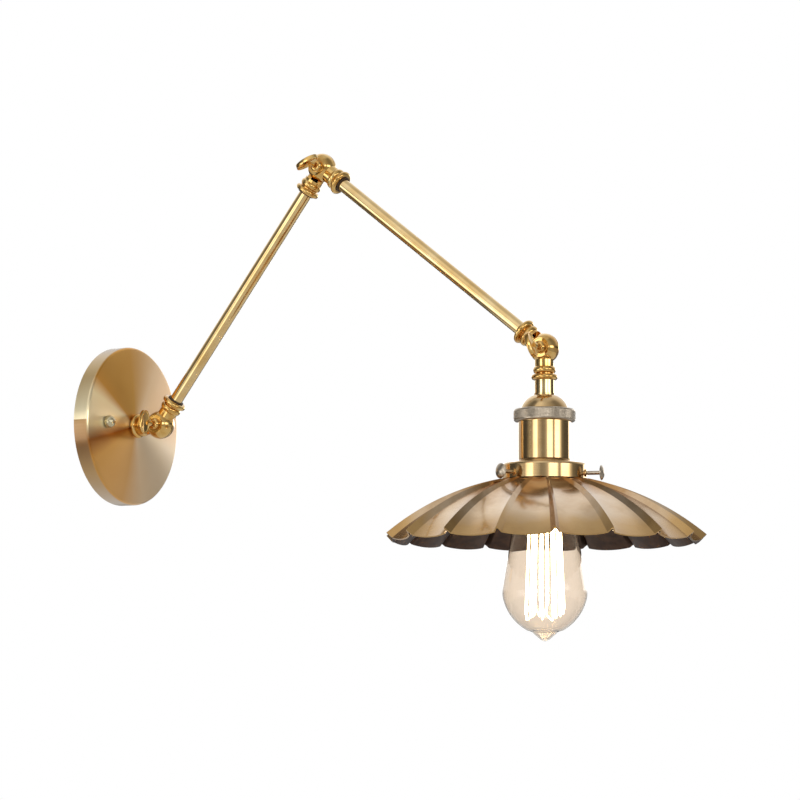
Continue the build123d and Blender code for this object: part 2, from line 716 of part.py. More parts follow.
# Shade. A crest line falls away from the crown as an arc; each pleat is a dished panel between
# two crests, cut along the planes of its ribs, and the same pleat is repeated round the head.
pleat_step = 360 / shade_pleats
half_pleat = math.radians(pleat_step / 2)
rim_radius = shade_dia / 2
crest_sine = math.sin(math.radians(shade_crest_slope))
crest_cosine = math.cos(math.radians(shade_crest_slope))


# The slope and the height of the crest line at a radius
def crest_at(radius):
    sine = crest_sine + (radius - shade_crown_radius) / shade_crest_radius
    cosine = math.sqrt(1 - sine**2)
    height = shade_crest_height + shade_crest_radius * (crest_cosine - cosine)
    return math.asin(sine), height


# The closed outline of one pleat's sheet, square to the crest line at a radius. Its flanks run
# a little past the ribs, where the rib planes trim them.
def pleat_section(radius, depth, drop):
    slope, height = crest_at(radius)
    half_width = radius * math.sin(half_pleat)
    flank = half_width * (1 - shade_flank_share)
    knee = -depth * shade_flank_drop
    past = shade_flank_past * half_width
    past_rise = past * depth * shade_flank_drop / (half_width - flank)
    origin = head_pivot + Vector(radius * math.cos(half_pleat), 0, -height - drop)
    outward_down = Vector(math.cos(slope), 0, -math.sin(slope))
    with BuildSketch(Plane(origin=origin, x_dir=(0, 1, 0), z_dir=outward_down)) as outline:
        with BuildLine():
            Line((-half_width - past, past_rise), (-flank, knee))
            ThreePointArc((-flank, knee), (0, -depth), (flank, knee))
            Line((flank, knee), (half_width + past, past_rise))
            Line((half_width + past, past_rise), (half_width + past, past_rise - shade_sheet))
            Line((half_width + past, past_rise - shade_sheet), (flank, knee - shade_sheet))
            ThreePointArc((flank, knee - shade_sheet), (0, -depth - shade_sheet),
                          (-flank, knee - shade_sheet))
            Line((-flank, knee - shade_sheet), (-half_width - past, past_rise - shade_sheet))
            Line((-half_width - past, past_rise - shade_sheet), (-half_width - past, past_rise))
        make_face()
    return outline.sketch.faces()[0]


pleat_faces = [pleat_section(shade_crown_radius, shade_depth_top * shade_first_depth,
                             shade_first_drop)]
for radius in pleat_radii:
    share = (radius - shade_crown_radius) / (rim_radius - shade_crown_radius)
    depth = shade_depth_top + (shade_depth_rim - shade_depth_top) * share
    pleat_faces.append(pleat_section(radius, depth, 0))

with BuildPart() as pleat:
    loft(pleat_faces)
    with BuildSketch(Plane.XY.offset(head_pivot.Z)) as wedge:
        with Locations((head_pivot.X, head_pivot.Y)):
            reach = 2 * rim_radius
            Polygon((0, 0), (reach, -reach * math.tan(half_pleat)),
                    (reach, reach * math.tan(half_pleat)), align=None)
    extrude(wedge.sketch, amount=-reach, mode=Mode.INTERSECT)

with BuildPart() as shade:
    lip_radius = shade_lip_dia / 2
    crown_top = shade_crown_height
    turn([(lip_radius - shade_sheet, shade_lip_start), (lip_radius, shade_lip_start),
          (lip_radius, crown_top - shade_lip_run),
          (shade_crown_radius + shade_lip_run, crown_top),
          (shade_crown_radius + shade_lip_run, crown_top + shade_sheet),
          (lip_radius - shade_sheet, crown_top)], head_pivot, down)
    for pleat_index in range(shade_pleats):
        turned_by = shade_rib_angle + pleat_step * (pleat_index + 0.5)
        add(pleat.part.rotate(Axis(head_pivot, (0, 0, 1)), turned_by))
shade.part.label = "shade"
export_step(shade.part, "parts/shade.step")

# Bulb: metal cap, contact, glass and the filament on its stem
with BuildPart() as bulb_cap:
    cap_outer = bulb_cap_dia / 2
    cap_inner = cap_outer - bulb_cap_wall
    cap_mouth = bulb_neck_dia / 2 - cap_wall
    insulator = bulb_contact_dia / 2 + slip
    cone_start = bulb_cap_start + bulb_contact_height / 4
    cone_end = bulb_cap_start + bulb_cap_cone
    turn([(cap_mouth, bulb_cap_end), (cap_outer, bulb_cap_end), (cap_outer, cone_end),
          (cap_outer - bulb_cap_cone, cone_start), (insulator, cone_start),
          (insulator, cone_start + bulb_cap_wall),
          (cap_inner - bulb_cap_cone, cone_start + bulb_cap_wall), (cap_inner, cone_end),
          (cap_inner, bulb_cap_end - bulb_cap_wall), (cap_mouth, bulb_cap_end - bulb_cap_wall)],
         head_pivot, down)
bulb_cap.part.label = "bulb_cap"
export_step(bulb_cap.part, "parts/bulb_cap.step")

with BuildPart() as bulb_contact:
    turn([(0, bulb_cap_start), (bulb_contact_face / 2, bulb_cap_start),
          (bulb_contact_dia / 2, bulb_cap_start + bulb_contact_height / 2),
          (bulb_contact_dia / 2, bulb_cap_start + bulb_contact_height),
          (0, bulb_cap_start + bulb_contact_height)], head_pivot, down)
bulb_contact.part.label = "bulb_contact"
export_step(bulb_contact.part, "parts/bulb_contact.step")

# The envelope: short neck, long taper to the widest ring, round bottom with a sealed tip. Its
# outline can be drawn inside itself by a wall.
glass_start = bulb_cap_end + slip


def envelope(inset, start):
    neck = bulb_neck_dia / 2 - inset
    widest = bulb_dia / 2 - inset
    tip_radius = bulb_tip_dia / 2 - inset
    tip_start = bulb_widest + math.sqrt(widest**2 - tip_radius**2)
    tip_end = bulb_tip_end - 2 * inset
    neck_end = (neck, glass_start + bulb_cap_cone)
    taper = [(neck + out, glass_start + along) for out, along in bulb_taper]
    half_way = widest * math.sin(math.radians(45))
    tip_line = [(out - inset, tip_end - up) for out, up in bulb_tip_line]
    with BuildSketch(turning_plane(head_pivot, down)) as section:
        with BuildLine():
            Polyline((0, start), (neck, start), neck_end)
            Spline(neck_end, *taper, (widest, bulb_widest), tangents=((0, 1), (0, 1)))
            ThreePointArc((widest, bulb_widest), (half_way, bulb_widest + half_way),
                          (tip_radius, tip_start))
            Spline((tip_radius, tip_start), *tip_line, (0, tip_end),
                   tangents=((-1, bulb_tip_slope), (-1, 0)))
            Line((0, tip_end), (0, start))
        make_face()
    return section.sketch


with BuildPart() as bulb_glass:
    revolve(envelope(0, glass_start), axis=Axis(head_pivot, down))
    revolve(envelope(bulb_wall, glass_start + bulb_floor), axis=Axis(head_pivot, down),
            mode=Mode.SUBTRACT)
bulb_glass.part.label = "bulb_glass"
export_step(bulb_glass.part, "parts/bulb_glass.step")

# Glass mount: a flare on the floor of the neck and a stem that carries the wires
mount_foot = glass_start + bulb_floor + slip
with BuildPart() as bulb_mount:
    turn([(0, mount_foot), (mount_flare_dia / 2, mount_foot),
          (mount_dia / 2 + bulb_floor, mount_foot + mount_flare_height),
          (mount_dia / 2, mount_foot + mount_neck_height),
          (mount_dia / 2, mount_end, bulb_floor), (0, mount_end)], head_pivot, down)
bulb_mount.part.label = "bulb_mount"
export_step(bulb_mount.part, "parts/bulb_mount.step")

# Squirrel-cage filament: one wire up and down round the mount, its two ends led to the mount
cage_radius = filament_cage_dia / 2
cage_step = filament_sweep / (filament_runs - 1)
foot_radius = mount_dia / 2 + filament_wire_dia / 2 + slip
foot_level = down * (mount_end - filament_foot)
filament_points = [head_pivot + radial(0) * foot_radius + foot_level]
for run in range(filament_runs):
    spoke = head_pivot + radial(run * cage_step) * cage_radius
    top_point = spoke + down * filament_top
    bottom_point = spoke + down * filament_bottom
    filament_points += [top_point, bottom_point] if run % 2 == 0 else [bottom_point, top_point]
filament_points.append(head_pivot + radial(filament_sweep) * foot_radius + foot_level)
with BuildPart() as bulb_filament:
    wire(filament_points, filament_bend, filament_wire_dia)
bulb_filament.part.label = "bulb_filament"
export_step(bulb_filament.part, "parts/bulb_filament.step")

# Cable. It runs inside both arms from pivot to pivot, beside the knuckle screws, and crosses
# from the front half's side to the rear half's side within each tube.
cross_start = arm_length * cable_cross_share
cross_end = arm_length - cross_start
for arm, start_pivot, direction in (("lower", wall_pivot, lower_direction),
                                    ("upper", elbow_pivot, upper_direction)):
    with BuildPart() as arm_cable:
        wire([start_pivot + direction * cable_pivot_gap - cable_side,
              start_pivot + direction * cross_start - cable_side,
              start_pivot + direction * cross_end + cable_side,
              start_pivot + direction * (arm_length - cable_pivot_gap) + cable_side],
             cable_long_bend, cable_dia)
    arm_cable.part.label = f"{arm}_arm_cable"
    export_step(arm_cable.part, f"parts/{arm}_arm_cable.step")

supply_cable_end = nut_face - stem_nut_height - stem_end_reach - cable_end_reach
with BuildPart() as swivel_cable:
    sleeve(cable_dia, 0, cable_pivot_gap, plate_stand_off - supply_cable_end,
           wall_pivot + cable_side, to_wall)
swivel_cable.part.label = "swivel_cable"
export_step(swivel_cable.part, "parts/swivel_cable.step")

head_cable_end = holder_start - head_cable_gap
with BuildPart() as head_cable:
    sleeve(cable_dia, 0, cable_pivot_gap, head_cable_end, head_pivot - cable_side, down)
head_cable.part.label = "head_cable"
export_step(head_cable.part, "parts/head_cable.step")

# Two leads fan out of the cable behind the plate, each into its twist-on connector
connector_level = earth_screw_top + loose + connector_dia / 2
with BuildPart() as supply_leads:
    for lead_side in (-1, 1):
        lead_start = cable_side + pivot_axis * lead_side * lead_dia * lead_spread
        mouth = Vector(connector_offset * lead_side, -connector_level, connector_start)
        wire([lead_start + out_from_wall * (supply_cable_end - slip),
              lead_start + out_from_wall * (supply_cable_end - lead_split),
              mouth - Vector(0, 0, lead_split), mouth + Vector(0, 0, lead_depth)],
             lead_bend, lead_dia)
supply_leads.part.label = "supply_leads"
export_step(supply_leads.part, "parts/supply_leads.step")

with BuildPart() as wire_connectors:
    for lead_side in (-1, 1):
        mouth = Vector(connector_offset * lead_side, -connector_level, connector_start)
        turn([(lead_dia / 2 + slip, 0), (connector_dia / 2, 0, connector_mouth_round),
              (connector_dia / 2, connector_band),
              (connector_dia / 2 - connector_taper, connector_length, connector_tip_round),
              (0, connector_length), (0, connector_socket),
              (lead_dia / 2 + slip, connector_socket)], mouth, Vector(0, 0, 1))
wire_connectors.part.label = "wire_connectors"
export_step(wire_connectors.part, "parts/wire_connectors.step")

# Two leads from the head's cable into the lamp holder
with BuildPart() as head_leads:
    for lead_side in (-1, 1):
        lead_start = head_pivot - cable_side + Vector(0, lead_side * lead_dia * lead_spread, 0)
        hole_place = head_pivot + Vector(0, lead_side * holder_hole_offset, 0)
        wire([lead_start + down * (head_cable_end + slip),
              lead_start + down * (head_cable_end + lead_bend),
              hole_place + down * (holder_start - lead_bend),
              hole_place + down * (holder_floor - cable_end_reach)],
             lead_bend / 2, lead_dia)
head_leads.part.label = "head_leads"
export_step(head_leads.part, "parts/head_leads.step")
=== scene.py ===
import json
import math

import bpy
from mathutils import Matrix, Vector


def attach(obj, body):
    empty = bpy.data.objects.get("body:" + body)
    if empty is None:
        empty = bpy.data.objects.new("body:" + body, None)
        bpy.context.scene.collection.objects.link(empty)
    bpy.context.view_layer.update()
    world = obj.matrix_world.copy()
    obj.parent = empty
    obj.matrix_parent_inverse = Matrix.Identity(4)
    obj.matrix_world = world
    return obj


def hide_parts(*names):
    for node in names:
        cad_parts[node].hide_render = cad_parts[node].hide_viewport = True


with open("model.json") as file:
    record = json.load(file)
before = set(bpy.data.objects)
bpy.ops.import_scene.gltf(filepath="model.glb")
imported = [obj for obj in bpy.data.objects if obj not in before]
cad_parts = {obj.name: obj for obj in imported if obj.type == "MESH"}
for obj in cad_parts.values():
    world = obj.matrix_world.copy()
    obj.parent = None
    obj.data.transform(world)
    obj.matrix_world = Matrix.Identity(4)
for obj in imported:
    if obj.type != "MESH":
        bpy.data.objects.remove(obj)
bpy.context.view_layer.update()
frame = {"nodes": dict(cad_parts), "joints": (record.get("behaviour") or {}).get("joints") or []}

mm = 0.001
joints = {joint["name"]: joint for joint in frame["joints"]}
wallPivot = Vector(joints["wall_knuckle"]["pos_m"])
elbowPivot = Vector(joints["elbow_knuckle"]["pos_m"])
headPivot = Vector(joints["head_knuckle"]["pos_m"])
down = Vector((0, 0, -1))
outFromWall = Vector((0, -1, 0))


# Camera


view = {
    "target": (0.0, -0.2635, 0.0097),
    "azimuth": -61.9,  # degrees round from straight in front of the wall, towards -X
    "elevation": -6.5,
    "distance": 1.840,
    "roll": 0.3,
    "focalPixels": 2359,
    "framePixels": 800,
}


def placeCamera():
    azimuth, elevation = math.radians(view["azimuth"]), math.radians(view["elevation"])
    back = Vector((math.sin(azimuth) * math.cos(elevation), -math.cos(azimuth) * math.cos(elevation),
                   math.sin(elevation)))
    cameraData = bpy.data.cameras.new("Camera")
    camera = bpy.data.objects.new("Camera", cameraData)
    bpy.context.scene.collection.objects.link(camera)
    camera.location = Vector(view["target"]) + back * view["distance"]
    turn = back.to_track_quat("Z", "Y").to_matrix().to_4x4()
    camera.rotation_euler = (turn @ Matrix.Rotation(math.radians(view["roll"]), 4, "Z")).to_euler()
    cameraData.sensor_width = 36
    cameraData.lens = view["focalPixels"] / view["framePixels"] * cameraData.sensor_width
    cameraData.clip_start = 0.05
    bpy.context.scene.camera = camera


placeCamera()
print("camera placed")


# Light


studio = {
    "backdrop": "#ffffff",
    # what the lamp sees round it: compass angle and brightness, at four heights
    "upper": [(-180, 1.05), (-150, 0.70), (-115, 0.45), (-85, 0.25), (-60, 0.30), (-40, 0.65), (-15, 0.90),
              (17, 1.00), (50, 1.15), (70, 0.85), (92, 0.55), (110, 0.25), (128, 0.18), (145, 0.30),
              (156, 0.90)],
    "level": [(-180, 0.55), (-172, 0.36), (-165, 0.28), (-155, 0.40), (-147, 0.80), (-141, 3.60),
              (-123, 3.60), (-117, 0.50), (-113, 0.60), (-108, 4.00), (-90, 4.00), (-82, 1.20),
              (-74, 0.25), (-60, 0.11), (-36, 0.10), (-30, 0.25), (-23, 3.40), (38, 3.00),
              (47, 0.70), (85, 0.65), (91, 0.25),
              (98, 0.10), (120, 0.08), (138, 0.18), (149, 0.30), (156, 2.60), (170, 4.00), (175, 0.90)],
    "under": [(-180, 2.20), (-172, 1.40), (-165, 0.45), (-140, 0.35), (-100, 0.45), (-60, 0.40), (-20, 0.30),
              (20, 0.16), (61, 0.12), (105, 0.08), (118, 0.20), (129, 1.40), (136, 2.80), (146, 2.60),
              (153, 0.45), (160, 0.45), (168, 1.20)],
    "lower": [(-180, 0.80), (-155, 0.40), (-130, 0.50), (-108, 0.85), (-79, 0.80), (-56, 0.50), (-30, 0.32),
              (0, 0.22), (36, 0.12), (61, 0.08), (93, 0.05), (112, 0.08), (126, 0.45), (142, 1.00)],
    "brightest": 4.0,
    "top": 0.66,
    "bottom": 0.32,
    # degrees between which one height gives way to the next
    "fades": [(-75, -58), (-32, -22), (0, 5), (9, 18), (58, 76)],
    "floorLevel": -0.62,
    "floorSize": 3.0,
    "floorColour": "#f4f3f1",
}


def toLinear(hexColour):
    parts = [int(hexColour[place:place + 2], 16) / 255 for place in (1, 3, 5)]
    return tuple([c / 12.92 if c <= 0.04045 else ((c + 0.055) / 1.055) ** 2.4 for c in parts] + [1.0])


def addNode(tree, kind, settings=None, links=None):
    node = tree.nodes.new(kind)
    for name, value in (settings or {}).items():
        if isinstance(name, str) and hasattr(node, name):
            setattr(node, name, value)
        else:
            node.inputs[name].default_value = value
    for name, source in (links or {}).items():
        tree.links.new(source, node.inputs[name])
    return node


def fillRamp(ramp, stops):
    while len(ramp.elements) < len(stops):
        ramp.elements.new(0.5)
    for element, (place, colour) in zip(ramp.elements, stops):
        element.position = place
        element.color = colour


def panelRow(tree, share, panels):
    row = addNode(tree, "ShaderNodeValToRGB", links={"Fac": share})
    fillRamp(row.color_ramp, [((place + 180) / 360, [level / studio["brightest"]] * 3 + [1])
                              for place, level in panels + [(180, panels[0][1])]])
    return row.outputs["Color"]


def fadeBetween(tree, height, angles, before, after):
    start, end = [math.sin(math.radians(angle)) for angle in angles]
    share = addNode(tree, "ShaderNodeMapRange", {"interpolation_type": "SMOOTHSTEP",
                    "From Min": start, "From Max": end}, {"Value": height})
    mix = addNode(tree, "ShaderNodeMix", {"data_type": "RGBA"}, {0: share.outputs["Result"]})
    for place, value in ((6, before), (7, after)):
        if isinstance(value, float):
            mix.inputs[place].default_value = [value / studio["brightest"]] * 3 + [1]
        else:
            tree.links.new(value, mix.inputs[place])
    return mix.outputs[2]


def buildStudio():
    world = bpy.data.worlds.new("Studio")
    bpy.context.scene.world = world
    world.use_nodes = True
    tree = world.node_tree
    tree.nodes.clear()
    direction = addNode(tree, "ShaderNodeTexCoord").outputs["Generated"]
    parts = addNode(tree, "ShaderNodeSeparateXYZ", links={"Vector": direction})
    angle = addNode(tree, "ShaderNodeMath", {"operation": "ARCTAN2"},
                    {0: parts.outputs["Y"], 1: parts.outputs["X"]})
    share = addNode(tree, "ShaderNodeMapRange", {"From Min": -math.pi, "From Max": math.pi},
                    {"Value": angle.outputs[0]}).outputs["Result"]
    height = parts.outputs["Z"]
    light = studio["bottom"]
    for angles, name in zip(studio["fades"], ("lower", "under", "level", "upper", "top")):
        layer = studio[name] if name == "top" else panelRow(tree, share, studio[name])
        light = fadeBetween(tree, height, angles, light, layer)
    around = addNode(tree, "ShaderNodeBackground", {"Strength": studio["brightest"]}, {"Color": light})
    plain = addNode(tree, "ShaderNodeBackground", {"Color": toLinear(studio["backdrop"])})
    rays = addNode(tree, "ShaderNodeLightPath")
    seen = addNode(tree, "ShaderNodeMath", {"operation": "MAXIMUM"},
                   {0: rays.outputs["Is Camera Ray"], 1: rays.outputs["Is Transmission Ray"]})
    choice = addNode(tree, "ShaderNodeMixShader", links={0: seen.outputs[0],
                     1: around.outputs[0], 2: plain.outputs[0]})
    addNode(tree, "ShaderNodeOutputWorld", links={"Surface": choice.outputs[0]})
    bpy.context.scene.view_settings.view_transform = "Standard"

    bpy.ops.mesh.primitive_plane_add(size=studio["floorSize"],
                                     location=(0, headPivot.y, studio["floorLevel"]))
    floor = bpy.context.object
    floor.name = "studioFloor"
    paper = bpy.data.materials.new("paperFloorMatte")
    paper.use_nodes = True
    paper.node_tree.nodes["Principled BSDF"].inputs["Base Color"].default_value = toLinear(
        studio["floorColour"])
    paper.node_tree.nodes["Principled BSDF"].inputs["Roughness"].default_value = 0.9
    floor.data.materials.append(paper)


buildStudio()
print("studio lit")


# Materials


def newMaterial(name):
    material = bpy.data.materials.new(name)
    material.use_nodes = True
    tree = material.node_tree
    tree.nodes.clear()
    shader = addNode(tree, "ShaderNodeBsdfPrincipled")
    addNode(tree, "ShaderNodeOutputMaterial", links={"Surface": shader.outputs[0]})
    return material, tree, shader


def paintedFanRamp(tree, place, stops):
    # painted reflection: light and dark colours laid out like fans round the axis that stands off the wall
    parts = addNode(tree, "ShaderNodeSeparateXYZ", links={"Vector": place})
    angle = addNode(tree, "ShaderNodeMath", {"operation": "ARCTAN2"},
                    {0: parts.outputs["Z"], 1: parts.outputs["X"]})
    share = addNode(tree, "ShaderNodeMapRange", {"From Min": -math.pi, "From Max": math.pi},
                    {"Value": angle.outputs[0]})
    ramp = addNode(tree, "ShaderNodeValToRGB", links={"Fac": share.outputs["Result"]})
    fillRamp(ramp.color_ramp, [((degrees + 180) / 360, toLinear(tint)) for degrees, tint in stops])
    return ramp.outputs["Color"]


# Spun brass, brushed on the lathe and lacquered: fine rings round the axis, and a reflection
# that fans out across them. Where given, painted reflection in light and dark fans tints it by the angle
# round the axis.
def spunBrass(name, axis, centre, look):
    material, tree, shader = newMaterial(name)
    place = addNode(tree, "ShaderNodeTexCoord").outputs["Object"]
    moved = addNode(tree, "ShaderNodeMapping", {"vector_type": "POINT",
                    "Location": tuple(-Vector(centre))}, {"Vector": place})
    flat = addNode(tree, "ShaderNodeVectorMath", {"operation": "MULTIPLY",
                   1: (0, 0, 1) if axis == "Z" else (1, 0, 1)}, {0: moved.outputs[0]})
    ring = addNode(tree, "ShaderNodeVectorMath", {"operation": "LENGTH"}, {0: flat.outputs[0]})
    fine = addNode(tree, "ShaderNodeTexNoise", {"noise_dimensions": "1D", "Detail": 3.0,
                   "Scale": 1 / (look["lineSpacing"] * mm)}, {"W": ring.outputs["Value"]})
    broad = addNode(tree, "ShaderNodeTexNoise", {"Detail": 2.0, "Scale": 1 / (look["patch"] * mm)},
                    {"Vector": moved.outputs[0]})
    both = addNode(tree, "ShaderNodeMath", {"operation": "MULTIPLY_ADD", 1: look["lineContrast"]},
                   {0: fine.outputs["Fac"], 2: broad.outputs["Fac"]})
    middle = 0.5 + look["lineContrast"] / 2
    colour = addNode(tree, "ShaderNodeValToRGB", links={"Fac": both.outputs[0]})
    fillRamp(colour.color_ramp, [(middle - 0.3, toLinear(look["dark"])), (middle, toLinear(look["colour"])),
                                 (middle + 0.3, toLinear(look["light"]))])
    tone = colour.outputs["Color"]
    # painted reflection: light and dark fans by the angle round the axis, multiplied into the colour
    if "facePaintedFans" in look:
        face = paintedFanRamp(tree, moved.outputs[0], look["facePaintedFans"])
        side = paintedFanRamp(tree, moved.outputs[0], look["sidePaintedFans"])
        outside = addNode(tree, "ShaderNodeMapRange", {"From Min": look["sideStart"] * mm,
                          "From Max": (look["sideStart"] + look["sideFade"]) * mm},
                          {"Value": ring.outputs["Value"]})
        fans = addNode(tree, "ShaderNodeMix", {"data_type": "RGBA"}, {0: outside.outputs["Result"],
                       6: face, 7: side})
        tone = addNode(tree, "ShaderNodeMix", {"data_type": "RGBA", "blend_type": "MULTIPLY", 0: 1.0},
                       {6: tone, 7: fans.outputs[2]}).outputs[2]
    rough = addNode(tree, "ShaderNodeMapRange", {"From Min": 0.3, "From Max": 0.7,
                    "To Min": look["roughness"] - 0.04, "To Max": look["roughness"] + 0.04},
                    {"Value": fine.outputs["Fac"]})
    bump = addNode(tree, "ShaderNodeBump", {"Strength": look["bump"], "Distance": 0.01 * mm},
                   {"Height": fine.outputs["Fac"]})
    tangent = addNode(tree, "ShaderNodeTangent", {"direction_type": "RADIAL", "axis": axis})
    for socket, value in (("Metallic", 1.0), ("Anisotropic", look["anisotropy"]),
                          ("Anisotropic Rotation", 0.25), ("Coat Weight", look["lacquer"]),
                          ("Coat Roughness", 0.12)):
        shader.inputs[socket].default_value = value
    for socket, source in (("Base Color", tone), ("Roughness", rough.outputs["Result"]),
                           ("Normal", bump.outputs["Normal"]), ("Tangent", tangent.outputs["Tangent"])):
        tree.links.new(source, shader.inputs[socket])
    return material


# Cast, drawn or pressed brass, polished and lacquered: a soft mirror with slight ripples and a
# few darker stains. Where given, painted shade and painted sheen tint it in rings by the distance from the
# head's axis.
def polishedBrass(name, look):
    material, tree, shader = newMaterial(name)
    place = addNode(tree, "ShaderNodeTexCoord").outputs["Object"]
    ripple = addNode(tree, "ShaderNodeTexNoise", {"Detail": 2.0, "Scale": 1 / (look["ripple"] * mm)},
                     {"Vector": place})
    stain = addNode(tree, "ShaderNodeTexNoise", {"Detail": 4.0, "Roughness": 0.6,
                    "Scale": 1 / (look["patch"] * mm)}, {"Vector": place})
    colour = addNode(tree, "ShaderNodeValToRGB", links={"Fac": stain.outputs["Fac"]})
    fillRamp(colour.color_ramp, [(0.3, toLinear(look["dark"])), (0.5, toLinear(look["colour"])),
                                 (0.75, toLinear(look["light"]))])
    tone = colour.outputs["Color"]
    # painted shade and painted sheen: tints by the distance from the head's axis, wavering with the stains
    if "paintedShadingBands" in look:
        ring = addNode(tree, "ShaderNodeVectorMath", {"operation": "LENGTH"}, {0: addNode(
            tree, "ShaderNodeVectorMath", {"operation": "MULTIPLY_ADD", 1: (1, 1, 0),
                                           2: (-headPivot.x, -headPivot.y, 0)}, {0: place}).outputs[0]})
        uneven = addNode(tree, "ShaderNodeMath", {"operation": "MULTIPLY_ADD", 1: look["shadingBandWander"] * mm},
                         {0: stain.outputs["Fac"], 2: ring.outputs["Value"]})
        share = addNode(tree, "ShaderNodeMath", {"operation": "DIVIDE", 1: look["shadingBandReach"] * mm},
                        {0: uneven.outputs[0]})
        paintedShading = addNode(tree, "ShaderNodeValToRGB", links={"Fac": share.outputs[0]})
        fillRamp(paintedShading.color_ramp, [((radius + look["shadingBandWander"] / 2) / look["shadingBandReach"], toLinear(tint))
                                   for radius, tint in look["paintedShadingBands"]])
        tone = addNode(tree, "ShaderNodeMix", {"data_type": "RGBA", "blend_type": "MULTIPLY", 0: 1.0},
                       {6: tone, 7: paintedShading.outputs["Color"]}).outputs[2]
    rough = addNode(tree, "ShaderNodeMapRange", {"From Min": 0.3, "From Max": 0.7,
                    "To Min": look["roughness"] - 0.03, "To Max": look["roughness"] + 0.04},
                    {"Value": stain.outputs["Fac"]})
    bump = addNode(tree, "ShaderNodeBump", {"Strength": look["bump"], "Distance": 0.05 * mm},
                   {"Height": ripple.outputs["Fac"]})
    for socket, value in (("Metallic", 1.0), ("Coat Weight", look["lacquer"]),
                          ("Coat Roughness", 0.08)):
        shader.inputs[socket].default_value = value
    for socket, source in (("Base Color", tone), ("Roughness", rough.outputs["Result"]),
                           ("Normal", bump.outputs["Normal"])):
        tree.links.new(source, shader.inputs[socket])
    return material


# Plain finishes for what stays inside: each has a colour that varies a little, a roughness and
# a fine texture.
def plainFinish(name, look):
    material, tree, shader = newMaterial(name)
    place = addNode(tree, "ShaderNodeTexCoord").outputs["Object"]
    grain = addNode(tree, "ShaderNodeTexNoise", {"Detail": 4.0, "Scale": 1 / (look["grain"] * mm)},
                    {"Vector": place})
    colour = addNode(tree, "ShaderNodeValToRGB", links={"Fac": grain.outputs["Fac"]})
    fillRamp(colour.color_ramp, [(0.35, toLinear(look["dark"])), (0.65, toLinear(look["colour"]))])
    bump = addNode(tree, "ShaderNodeBump", {"Strength": 0.3, "Distance": 0.03 * mm},
                   {"Height": grain.outputs["Fac"]})
    for socket, value in (("Metallic", look["metallic"]), ("Roughness", look["roughness"])):
        shader.inputs[socket].default_value = value
    tree.links.new(colour.outputs["Color"], shader.inputs["Base Color"])
    tree.links.new(bump.outputs["Normal"], shader.inputs["Normal"])
    return material


# Blown glass with a faint amber tint: clear in the middle, greyer at its edges with painted shade where it is
# seen edge on, with the slow waves of drawn glass.
def blownGlass(name, look):
    material, tree, shader = newMaterial(name)
    place = addNode(tree, "ShaderNodeTexCoord").outputs["Object"]
    wave = addNode(tree, "ShaderNodeTexNoise", {"Detail": 1.0, "Scale": 1 / (look["wave"] * mm)},
                   {"Vector": place})
    bump = addNode(tree, "ShaderNodeBump", {"Strength": 0.1, "Distance": 0.2 * mm},
                   {"Height": wave.outputs["Fac"]})
    # painted shade: the tint turns greyer where the glass is seen edge on
    edge = addNode(tree, "ShaderNodeLayerWeight", {"Blend": 0.3})
    tint = addNode(tree, "ShaderNodeValToRGB", links={"Fac": edge.outputs["Facing"]})
    fillRamp(tint.color_ramp, [(0.2, toLinear(look["colour"])), (0.95, toLinear(look["edge"]))])
    for socket, value in (("Transmission Weight", 1.0), ("Roughness", 0.0), ("IOR", 1.45)):
        shader.inputs[socket].default_value = value
    tree.links.new(tint.outputs["Color"], shader.inputs["Base Color"])
    tree.links.new(bump.outputs["Normal"], shader.inputs["Normal"])
    return material


# Carbon filament alight: almost white where it faces the eye, yellow at its edges.
def glowingWire(name, look):
    material, tree, shader = newMaterial(name)
    place = addNode(tree, "ShaderNodeTexCoord").outputs["Object"]
    grain = addNode(tree, "ShaderNodeTexNoise", {"Detail": 2.0, "Scale": 1 / (look["grain"] * mm)},
                    {"Vector": place})
    edge = addNode(tree, "ShaderNodeLayerWeight", {"Blend": 0.5})
    both = addNode(tree, "ShaderNodeMath", {"operation": "MULTIPLY_ADD", 1: 0.3},
                   {0: grain.outputs["Fac"], 2: edge.outputs["Facing"]})
    colour = addNode(tree, "ShaderNodeValToRGB", links={"Fac": both.outputs[0]})
    fillRamp(colour.color_ramp, [(0.3, toLinear(look["colour"])), (0.9, toLinear(look["edge"]))])
    tree.links.new(colour.outputs["Color"], shader.inputs["Emission Color"])
    tree.links.new(colour.outputs["Color"], shader.inputs["Base Color"])
    shader.inputs["Emission Strength"].default_value = look["glow"]
    return material


